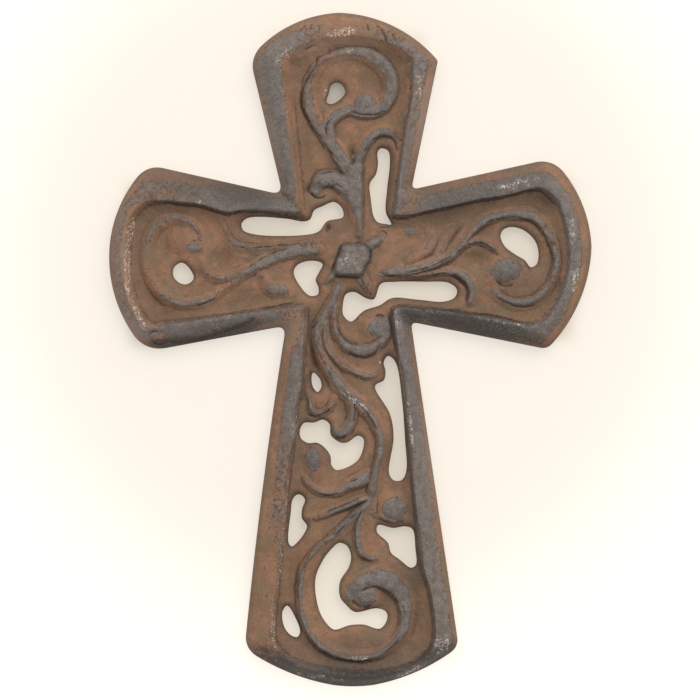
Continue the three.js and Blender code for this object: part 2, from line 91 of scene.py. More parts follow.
# Raised strokes. The half widths, the reach of the slopes to the left and to the right, and how
# grey it is worn, are each given at even shares of its length, or as one number for all of it.
Stroke = namedtuple("Stroke", "width left right rise grey line")
STROKES = {
    "top_scroll": Stroke(
        (1.6, 1.9, 2, 1.9, 1.7, 1.5, 1, 0.8, 0.9, 1.4, 1.9, 1.9, 1.8, 1.8, 1.8, 1.4), (1, 1, 0.9,
        0.8, 0.8, 1, 1.2, 1.6, 1.8, 1.8, 1.6, 1.4, 1.2, 0.9, 0.8, 0.8), 2.6, 2.1, (0.9, 0.75, 0.6,
        0.6, 0.55, 0.5, 0.4, 0.45, 0.5, 0.75, 0.8, 0.8, 0.85, 0.9, 0.95, 0.9),
        [(0.2, 31.1), (-5.4, 40.5), (-9.6, 46.6), (-13.1, 52.8), (-14.4, 58.5), (-14, 64.6),
         (-10, 71), (-3.5, 74.1), (2.2, 75.1), (7.9, 73.6), (12.5, 70.3), (15.3, 65.6),
         (15.6, 60.6), (13.4, 56), (9.8, 53.5), (5.5, 52.9), (1.2, 53.7)]),
    "left_scroll": Stroke(
        (0.7, 0.7, 0.8, 0.8, 0.9, 0.8, 0.7, 0.8, 0.9, 0.9), (1.6, 2.4), 2.6, 1.5, (0.3, 0.15, 0.3,
        0.7, 0.55, 0.2, 0.15, 0.5, 0.55, 0.45, 0.4),
        [(-31.7, 0.1), (-39.6, -5.2), (-46.1, -9.8), (-51.5, -13.3), (-57.6, -14.6), (-64, -13.5),
         (-69, -9.8), (-71.8, -5.1), (-73.5, 0.6), (-73.1, 6.3), (-71.2, 11.3), (-67.6, 14.8),
         (-62.6, 16.6), (-57.9, 15.1), (-54.8, 12.2), (-53.4, 8.6)]),
    "right_scroll": Stroke(
        (0.7, 1.5, 1.2, 0.9, 1, 0.9, 1, 1.3, 1.5, 1.4, 1.2, 1.1, 1.1, 1.1, 1.1, 1, 0.9), (3, 2.6,
        2.4, 2.4), (0.8, 0.8, 1, 0.9, 0.9, 1.2, 1), 2.2, (0.9, 0.95, 0.8, 0.6, 0.6, 0.4, 0.7, 0.9,
        0.85, 0.6, 0.55, 0.5, 0.5, 0.5, 0.6, 0.75, 0.6),
        [(10.5, -4.8), (15.2, -3.8), (20.5, -3.8), (25.5, -2.8), (30.9, -1.1), (35.6, 1.3),
         (38.9, 4.1), (41.8, 7.7), (44.7, 11.2), (49.4, 14.4), (54.4, 15.7), (59.4, 16),
         (64.4, 15.3), (68.3, 12.7), (71.1, 9.1), (72.9, 4.8), (73.9, -0.3), (73.1, -5.3),
         (70.9, -9.9), (67.6, -13.4), (63.3, -15.5), (58.3, -15.8), (54, -13.9), (51.2, -11)]),
    "leg_stem": Stroke(
        (0.9, 1, 1.1, 1.2, 1, 1.1, 1.4, 1.3, 1.3, 1.2, 1.1, 1, 1, 1.1, 1.2), 2.4, (1.6, 1.6, 2.2,
        2.4, 1.6, 1, 1.2), 2.2, (0.5, 0.75, 0.65, 0.6, 0.4, 0.35, 0.6, 0.9, 0.85, 0.7, 0.7, 0.65,
        0.65, 0.75, 0.8),
        [(-3.5, -6.8), (-5.6, -12.1), (-8.2, -17.1), (-10.9, -21.3), (-12.4, -25.6), (-11.8, -30.8),
         (-9.7, -35.9), (-6.7, -41.1), (-3.3, -45.8), (0.3, -49), (3.4, -51.9), (6.3, -55.2),
         (8.7, -59.5), (10.1, -64.5), (9.6, -69.5), (8.1, -74.9), (7, -80.6), (6.2, -85.2)]),
    "foot_scroll": Stroke(
        (0.8, 0.9, 1, 1, 0.9, 0.8, 0.8, 0.8, 0.7, 0.7, 0.8, 0.8, 0.9, 1, 1, 1, 1, 1, 1.1, 1.3, 1.6,
        2.2, 2.8, 3, 2.8, 2.4, 2), (2.8, 2.8, 3.2, 3.6, 3.6, 3.4, 3, 2.4, 1.6, 0.9, 0.8, 0.8), (1,
        1, 1, 1.2, 1.4, 1, 0.9, 1.2, 2.6, 3, 2.6, 2), 2.3, (0.8, 0.85, 0.85, 0.7, 0.4, 0.35, 0.35,
        0.55, 0.6, 0.6, 0.6, 0.6, 0.65, 0.65, 0.6, 0.6, 0.65, 0.7, 0.75, 0.8, 0.8, 0.85, 0.9, 0.9,
        0.9, 0.9, 0.9),
        [(5.8, -86.7), (0.8, -90.5), (-3.2, -94.4), (-7.2, -97.9), (-11.5, -101.5), (-15.5, -105.3),
         (-18.1, -109.6), (-19.2, -114.6), (-19.6, -120), (-19, -125.3), (-17.3, -130.7),
         (-14.5, -135.1), (-10.6, -138.7), (-5.6, -140.9), (-0.2, -141.7), (5.1, -141.4),
         (10.2, -139.7), (14.1, -136.5), (17.1, -132.2), (18.2, -127.3), (17.9, -122.6),
         (16.2, -118.6), (13, -115.4), (8.7, -113.5), (4.4, -114.2), (0.8, -116.6), (-1, -119.5)]),
    "left_branch": Stroke(
        (1, 1.5, 1.7, 1.6, 1.2, 0.9, 0.8, 0.7, 0.6), (1.2, 1.2, 1.4, 2, 2.6), 2.4, 1.8, (0.2, 0.75,
        0.9, 0.9, 0.7, 0.6, 0.55, 0.3, 0.3),
        [(-8.7, 3.7), (-13.7, 4.1), (-18.7, 3.8), (-23.8, 2.8), (-28.4, 1.1), (-32.8, -1),
         (-36.7, -3.1), (-41, -4.8), (-45.3, -5.5), (-49.6, -4.7), (-52.4, -2.2), (-53.5, 1.1)]),
    "top_stem": Stroke(
        (0.6, 0.8, 0.9, 1.6, 2.6, 3, 2.4, 1.6), (2, 2.4, 2.6, 3, 2), (1.2, 1.2, 0.9, 0.9), 2.3,
        (0.2, 0.6, 0.7, 0.85, 0.95, 0.95, 0.9, 0.9),
        [(3.1, 6.4), (3.2, 11.8), (2.9, 16.8), (2.2, 21.1), (1.6, 25.4), (1.6, 29.7), (2.4, 33.2),
         (2.8, 36.1)]),
    "leg_hook": Stroke(
        (0.6, 0.7, 0.7, 0.8, 1.1, 1.5, 1.6, 1.4, 1.1, 0.9), 1, (2, 1.4, 1), 2.3, (0.7, 0.45, 0.4,
        0.5, 0.7, 0.85, 0.85, 0.8, 0.6, 0.5),
        [(-5, -13.9), (-6.2, -18.9), (-5.9, -23.9), (-4.1, -27.9), (-0.9, -30.8), (3, -31.9),
         (6.9, -31.6), (10.2, -29.5), (12.7, -27), (14.2, -24.2)]),
    "top_leaf": Stroke(
        (1.5, 1.5, 1.5, 1.4, 1.4, 1.3, 1.3), 1, 3.6, 1.9, (0.95, 0.9, 0.85, 0.75, 0.7, 0.7, 0.9),
        [(2.7, 54.7), (-1.3, 53.7), (-4.9, 51.6), (-7.1, 48.8), (-6.7, 45.2), (-5, 40.9),
         (-2.6, 36.9), (0.3, 32.9)]),
    "top_arch": Stroke(
        (1.3, 1.2, 1.2, 1.2, 1.1), 2.4, 0.9, 1.9, (0.9, 0.85, 0.85, 0.8, 0.7),
        [(2.8, 33.2), (3.9, 37.5), (5.7, 41.1), (8.3, 44.3), (11.5, 46), (15.1, 45.6),
         (17.2, 43.4)]),
    "top_crescent": Stroke(
        (1.7, 2.4, 2.6, 2.4, 2, 1.6), 0.9, (0.9, 0.9, 0.9, 1.6), 2, (0.85, 0.95, 0.95, 0.9, 0.9),
        [(-12.4, 25.6), (-10.9, 28.4), (-8, 29.8), (-4.8, 29), (-2, 26.5), (0.5, 22.5)]),
    "left_arch": Stroke(
        (0.6, 0.7, 0.8, 0.8, 0.8), 1, 2.4, 1.5, (0.3, 0.4, 0.4, 0.6, 0.6, 0.5, 0.2),
        [(-45.4, 16.7), (-45.1, 12.8), (-43.4, 8.8), (-39.8, 6.2), (-33.7, 5.1), (-26.6, 5.4),
         (-18.7, 6), (-10.1, 7.3)]),
    "left_hook": Stroke(
        (1, 0.9, 1, 1.5, 1.7, 1.2), 2.4, 2, 1.6, (0.7, 0.3, 0.35, 0.9, 0.85, 0.2),
        [(-32.4, -1.4), (-31.7, -4.6), (-30.3, -7.8), (-27.9, -9.7), (-24.6, -10.1),
         (-21.8, -11.5)]),
    "right_upper_leaf": Stroke(
        (0.7, 0.7, 0.7, 0.6), 2.4, 1, 1.6, (0.6, 0.7, 0.6, 0.4, 0.3),
        [(34.9, 0.6), (38.5, 3.8), (42.1, 5.9), (46.1, 6.6), (49.3, 5.4), (51.7, 3.3),
         (53.9, 0.7)]),
    "right_lower_leaf": Stroke(
        (0.5, 0.5, 0.5, 0.9, 1.3, 1, 0.6), 2.2, (0.9, 0.8, 0.8, 1), 1.8, (0.3, 0.3, 0.4, 0.7, 0.8,
        0.7, 0.4),
        [(19.1, -6), (26.2, -5.4), (33.4, -4.4), (38, -4.8), (41.6, -7.3), (43.3, -10.9),
         (42.6, -14.9), (41.1, -18.4)]),
    "right_lobe": Stroke(
        (0.6, 0.8, 0.8), 1.6, 2, 1.1, (0.3, 0.1, 0.4, 0.3),
        [(18.4, -2.7), (22, 0.4), (25.6, 2.5), (28.2, 5.7), (28.9, 9.3), (27.2, 11.8)]),
    "right_vein": Stroke(
        (0.6, 0.7, 0.6), 1.6, 2, 1.1, (0.1, 0.3, 0.15),
        [(30.6, 0.3), (32.4, 3.5), (33.5, 6.7), (35.4, 9.9)]),
    "right_rib": Stroke(
        (0.5, 0.6, 0.5), 1.6, 1.8, 0.9, (0.2, 0.3, 0.2),
        [(34.9, 2.8), (37.5, 5.6), (40.4, 9.5), (42.2, 12.3)]),
    "leg_lobe": Stroke(
        (0.7, 0.7, 0.8, 0.8, 0.8, 0.7), 2.2, 1, 1.8, (0.6, 0.7, 0.55, 0.5, 0.6, 0.5),
        [(-8.3, -18.5), (-9.4, -23.6), (-9.4, -27.8), (-7.8, -32.3), (-4.9, -35.7), (-1, -38.6),
         (2.9, -40.5), (6.8, -41.2), (9.7, -39.8)]),
    "leg_loop": Stroke(
        (0.6, 0.6, 0.7, 0.7, 0.6), (1.4, 1.2), 1.4, 2, (0.5, 0.5, 0.6, 0.6, 0.3),
        [(-16.6, -36), (-16.4, -40), (-16.2, -45.2), (-15.1, -50.2), (-14.1, -53.5), (-11.3, -54.2),
         (-8.4, -52.5), (-6.2, -48.6)]),
    "leg_tongue": Stroke(
        (0.8, 0.9, 0.9, 0.9, 1.2, 1.2, 0.9), 0.9, 1.6, 1.7, (0.5, 0.6, 0.6, 0.6, 0.85, 0.8, 0.6),
        [(-2.6, -46.8), (-0.5, -50.1), (0.2, -54), (-0.6, -58.3), (-2.4, -60.8), (-5.3, -61.5),
         (-7, -60)]),
    "leg_cradle": Stroke(
        (0.6, 0.7, 0.7, 0.8, 0.8, 1.3, 1.7, 1.6), 2, (0.9, 1, 1.2), 1.7, (0.3, 0.35, 0.5, 0.55, 0.6,
        0.7, 0.75, 0.75),
        [(-18.3, -75.3), (-16.6, -79.2), (-13.4, -81.8), (-9.1, -82.9), (-4.8, -82.2),
         (-1.2, -80.1), (2.7, -78.4), (6.7, -76.3)]),
    "leg_vein": Stroke(
        (0.9, 0.8, 0.7, 0.6), 0.9, 2, 1.6, (0.7, 0.6, 0.6, 0.4, 0.2),
        [(5.9, -84.2), (0.5, -86.2), (-4.6, -88.3), (-9.2, -90), (-13.9, -91.4), (-16.4, -92.1)]),
    "foot_tongue": Stroke(
        (0.8, 0.9, 0.9, 0.9, 0.8), 2.6, 1, 1.8, (0.6, 0.7, 0.7, 0.6, 0.6),
        [(4.4, -86.6), (2.6, -90.6), (1.4, -95.2), (1.4, -100.2), (2.4, -104.1), (4.9, -106.3),
         (7.7, -106.4)]),
    "foot_bridge": Stroke(
        (0.9, 1, 1), 1.6, 1, 1.2, (0.4, 0.4, 0.5),
        [(6.5, -89.5), (10.1, -91.7), (14, -93.2), (17.9, -93.3)]),
    "star_upper_right": Stroke(
        (1.5, 1.2, 0.7), 0.9, 0.9, 2, (0.9, 0.9, 0.7),
        [(4.2, 3.5), (7.8, 6), (12.5, 8.8)]),
    "star_lower_right": Stroke(
        (2.4, 1.8, 0.8), 1, 1, 1.9, (0.7, 0.3, 0.3),
        [(2.3, -3.2), (4.9, -7.2), (8, -12.6)]),
    "star_lower_left": Stroke(
        (1.3, 0.9, 0.4), 1, 1, 1.8, (0.9, 0.7, 0.4),
        [(-3.8, -2.5), (-6.7, -5.3), (-9.6, -8.5)]),
    "star_upper_left": Stroke(
        (1, 0.7, 0.4), 1.4, 1.4, 0.9, (0.3, 0.15, 0.1),
        [(-2.6, 4), (-5.1, 7.2), (-7.2, 10.1)]),
}

# What is open right through.
GAPS = {
    "top_eye": [(-4.3, 64.1), (-6.2, 63), (-6.9, 60.6), (-7.8, 57), (-6.2, 56.3), (-3.4, 57.6),
        (-1.1, 60.4), (-2.2, 63.2)],
    "top_slot": [(11.4, 40.3), (10.2, 38.9), (10.3, 34.9), (9.5, 31), (7.3, 27.8), (7.6, 21.7),
        (8.6, 15.6), (10, 13.8), (12.9, 13.1), (14.8, 12.9), (12.9, 17.4), (13.4, 25.2),
        (14.6, 35.9), (14, 39.4)],
    "left_slot": [(-5.6, 21.3), (-9.9, 19.8), (-12.8, 18.4), (-14.3, 15.2), (-16.8, 14.5),
        (-22.5, 15.5), (-36.5, 16), (-38.8, 14.1), (-38.3, 11.6), (-33.3, 9.9), (-15.1, 9.7),
        (-11.1, 10.9), (-8.2, 14.4), (-2.5, 15.8), (-2.8, 19)],
    "left_eye": [(-60.6, 0.3), (-63.2, -1.3), (-63.6, -4.2), (-61.8, -6.7), (-58.6, -7.5),
        (-56.2, -5.3), (-58.2, -1.2)],
    "left_nook": [(-12.7, 0.3), (-17, -0.1), (-19.5, -1.5), (-20.4, -4), (-16.8, -10.5),
        (-14.3, -12.3), (-11.8, -11.7), (-11.6, -9.2), (-12.6, -6.6), (-11.3, -3.8), (-10, -0.9)],
    "right_eye": [(57.6, 11.5), (54.7, 10.4), (53.8, 8.2), (55.3, 4.6), (58.9, 1.7), (62.4, -0.5),
        (64.5, -3), (66.7, -1.9), (67.4, 2.3), (66.1, 6.6), (62.2, 10.3)],
    "right_slot": [(15.5, -7.6), (10.8, -8.2), (8.2, -13.7), (5.4, -13.3), (1.1, -11),
        (-1.8, -11.8), (-2.9, -15.3), (-2.8, -19.3), (-0.1, -21.6), (4.6, -17.8), (10.3, -15.9),
        (14.7, -13.4), (24, -14.1), (33.3, -14.9), (37.2, -13.4), (38, -10.7), (35.1, -8.2),
        (26.6, -7.7)],
    "leg_right_slot": [(13, -34.1), (11.4, -36.3), (12, -39.5), (11.4, -42.7), (8.2, -44.8),
        (13.4, -54.9), (14.6, -63.2), (12.8, -76), (14.5, -78.7), (17.4, -78.6), (19, -75.4),
        (18.7, -64.3), (17.8, -50), (15.6, -36.3)],
    "leg_pip": [(-13.9, -39.7), (-14.5, -41.3), (-14, -44.9), (-12.4, -46.7), (-11, -44.9),
        (-11.5, -42.1)],
    "leg_window": [(-10.6, -56.6), (-13.8, -57.6), (-17.4, -57.7), (-19, -60.6), (-18.5, -63.3),
        (-16.1, -64.9), (-12.8, -64.9), (-10, -66.8), (-8.1, -69.7), (-7.8, -72.9), (-6.2, -74.7),
        (-1.9, -73.7), (1.8, -71.2), (3.6, -67.3), (3.8, -63.7), (1.9, -62.5), (-2.1, -64.9),
        (-4.6, -64.8), (-7.8, -62.2), (-8.3, -58.2)],
    "leg_left_slot": [(-20.2, -83.3), (-21.9, -85.2), (-22.6, -89.9), (-23.5, -100.6),
        (-22.3, -101.9), (-16.8, -94.9), (-18.6, -91.7), (-18.5, -88.5), (-17.4, -85.3),
        (-18.4, -83.7)],
    "leg_triangle": [(8.6, -94.6), (8.2, -97.1), (12.1, -101.1), (13.1, -104.6), (16.3, -107.2),
        (20.2, -110.1), (22, -109.1), (21.9, -103.3), (20.9, -96.2), (18.3, -95.2), (14, -95.7)],
    "foot_left_slot": [(-24.3, -123), (-26, -125.2), (-25.6, -130.3), (-23.4, -133.5),
        (-20.9, -134.4), (-19.8, -132.5), (-21.2, -127.8)],
    "foot_crescent": [(-5.4, -100.8), (-8.3, -103.1), (-11.2, -106.8), (-13.8, -112.5),
        (-14.2, -117.5), (-12.7, -125.4), (-10.5, -129.4), (-7.6, -131.9), (-1.9, -130.4),
        (3.1, -130.3), (8.8, -131.8), (11.4, -128.6), (11.1, -125.7), (7.9, -124.4), (0, -125.6),
        (-3.2, -123), (-5.3, -120.1), (-5.3, -114.8), (-2, -109.5), (-1.2, -105.5), (-2.6, -101.9)],
}

# Domed buds: centre, half length, half width, turn in degrees, rise and how grey they are worn.
BUDS = {
    "top_bud": ((6, 56.4), (3.7, 3.3), 0, 2, 1),
    "left_bud": ((-57.4, 8.2), (4.4, 4), 0, 1.5, 0.2),
    "left_bud_cap": ((-56, 5.4), (2.9, 1.6), 0, 1.5, 0.85),
    "right_bud": ((55.6, -4), (5.4, 4.3), 10, 2.6, 1.1),
    "hook_bud": ((10.6, -24), (4.9, 3.9), 10, 1.9, 0.95),
    "cradle_bud": ((-14.4, -70.6), (2.6, 4.6), 12, 1.7, 0.9),
    "foot_bud": ((3.9, -119.6), (4, 4), 0, 2.4, 0.95),
    "bridge_bud": ((14.9, -88.6), (4.6, 3.9), 0, 2.2, 1.05),
    "lobe_spot": ((21.6, 10.4), (2.3, 1.8), 15, 1, 0.8),
    "slot_bump": ((12.6, 5.6), (2, 3.2), -25, 1, 0.1),
}

# The boss at the crossing: its outline and its rise over the field.
BOSS = [
    (-3.2, 5.8), (1.3, 6.3), (5.9, 5.6), (7.3, 3), (7, 0.6), (5.6, -2.6), (4.2, -5.4), (0.5, -5.7),
    (-3.8, -5.3), (-6.6, -4.4), (-5.7, -0.9), (-4.4, 2.6),
]
BOSS_RISE = 3.9

# A small oval plate cast on the rim: centre, half length, half width and turn.
FLAW = ((-69, -26.7), (2.3, 1.3), 8)

# Hollows in the field: centre, half length, half width, turn in degrees and depth.
HOLLOWS = {
    "top_fork": ((1.4, 37.5), (1.6, 4.2), 8, 1.6),
    "top_corner": ((-14.6, 25.9), (1.5, 1.6), 0, 1.2),
    "top_groove": ((-6.6, 45.5), (1, 6), 25, 1.3),
    "top_bowl": ((6.8, 64), (5.5, 4), 0, 1),
    "top_side": ((-16, 40), (2.2, 9), 12, 0.8),
    "slot_pit": ((-7.9, 12.4), (1.6, 2.2), 0, 1.6),
    "left_bowl": ((-66.3, 7.6), (3.5, 5.5), 0, 1),
    "left_middle": ((-45.7, 2.2), (4, 3), 0, 1.1),
    "left_low": ((-37, -12.4), (8, 3.2), -8, 0.9),
    "left_corner": ((-66.5, -19), (4.5, 2), 12, 0.9),
    "right_corner": ((66, 18.5), (4.5, 3), -20, 1),
    "right_middle": ((46.5, -0.5), (3.6, 3.4), 0, 1.2),
    "right_upper": ((36, 15), (7, 3.4), 12, 0.9),
    "right_tuck": ((40.5, -6.6), (3.4, 1.4), -35, 1.3),
    "leg_channel": ((-13.4, -33.5), (1.7, 10), 3, 2),
    "leg_groove": ((-9.5, -40), (1.2, 7), 12, 1),
    "leg_cup": ((5, -26.5), (3.6, 2.6), -30, 1),
    "leg_leaf": ((-2.6, -54), (1.6, 5), 15, 0.8),
    "foot_bowl": ((9.6, -122), (4.6, 6), 0, 0.8),
    "foot_corner": ((20.5, -127), (2.4, 8), 5, 0.8),
    "foot_left": ((-21.4, -110), (2.2, 11), -4, 1.3),
    "foot_low": ((-15, -138.5), (6, 2), -22, 0.8),
    "foot_right": ((22.5, -106), (1.8, 6), 0, 0.9),
    "left_ring": ((-66, 2), (2, 6), 10, 0.5),
    "left_outer_low": ((-69, -15.5), (2.6, 6.5), 38, 0.8),
    "left_branch_low": ((-41.5, -14.8), (6, 2.2), 6, 0.9),
    "left_nest": ((-47, 1.2), (4, 2.6), -20, 0.9),
    "right_nest": ((44, 0.8), (3.4, 2.4), 0, 0.9),
    "right_far": ((69.5, 20), (4, 2), -35, 1.2),
    "stem_left": ((-1.4, 15), (1.4, 5), 0, 0.8),
    "cradle_bowl": ((-2, -75.5), (6, 2.4), 20, 0.8),
    "bridge_side": ((15, -80.5), (3, 3.2), 0, 0.9),
    "hook_bowl": ((-1, -22.5), (3.4, 3), -40, 0.9),
    "lobe_fold": ((27.5, 1.8), (3.4, 1.5), 40, 0.7),
    "lobe_fold_two": ((37.5, 8.5), (4.2, 1.6), 50, 0.7),
    "lobe_fold_three": ((16.5, 13), (2.4, 2.4), 0, 0.6),
}

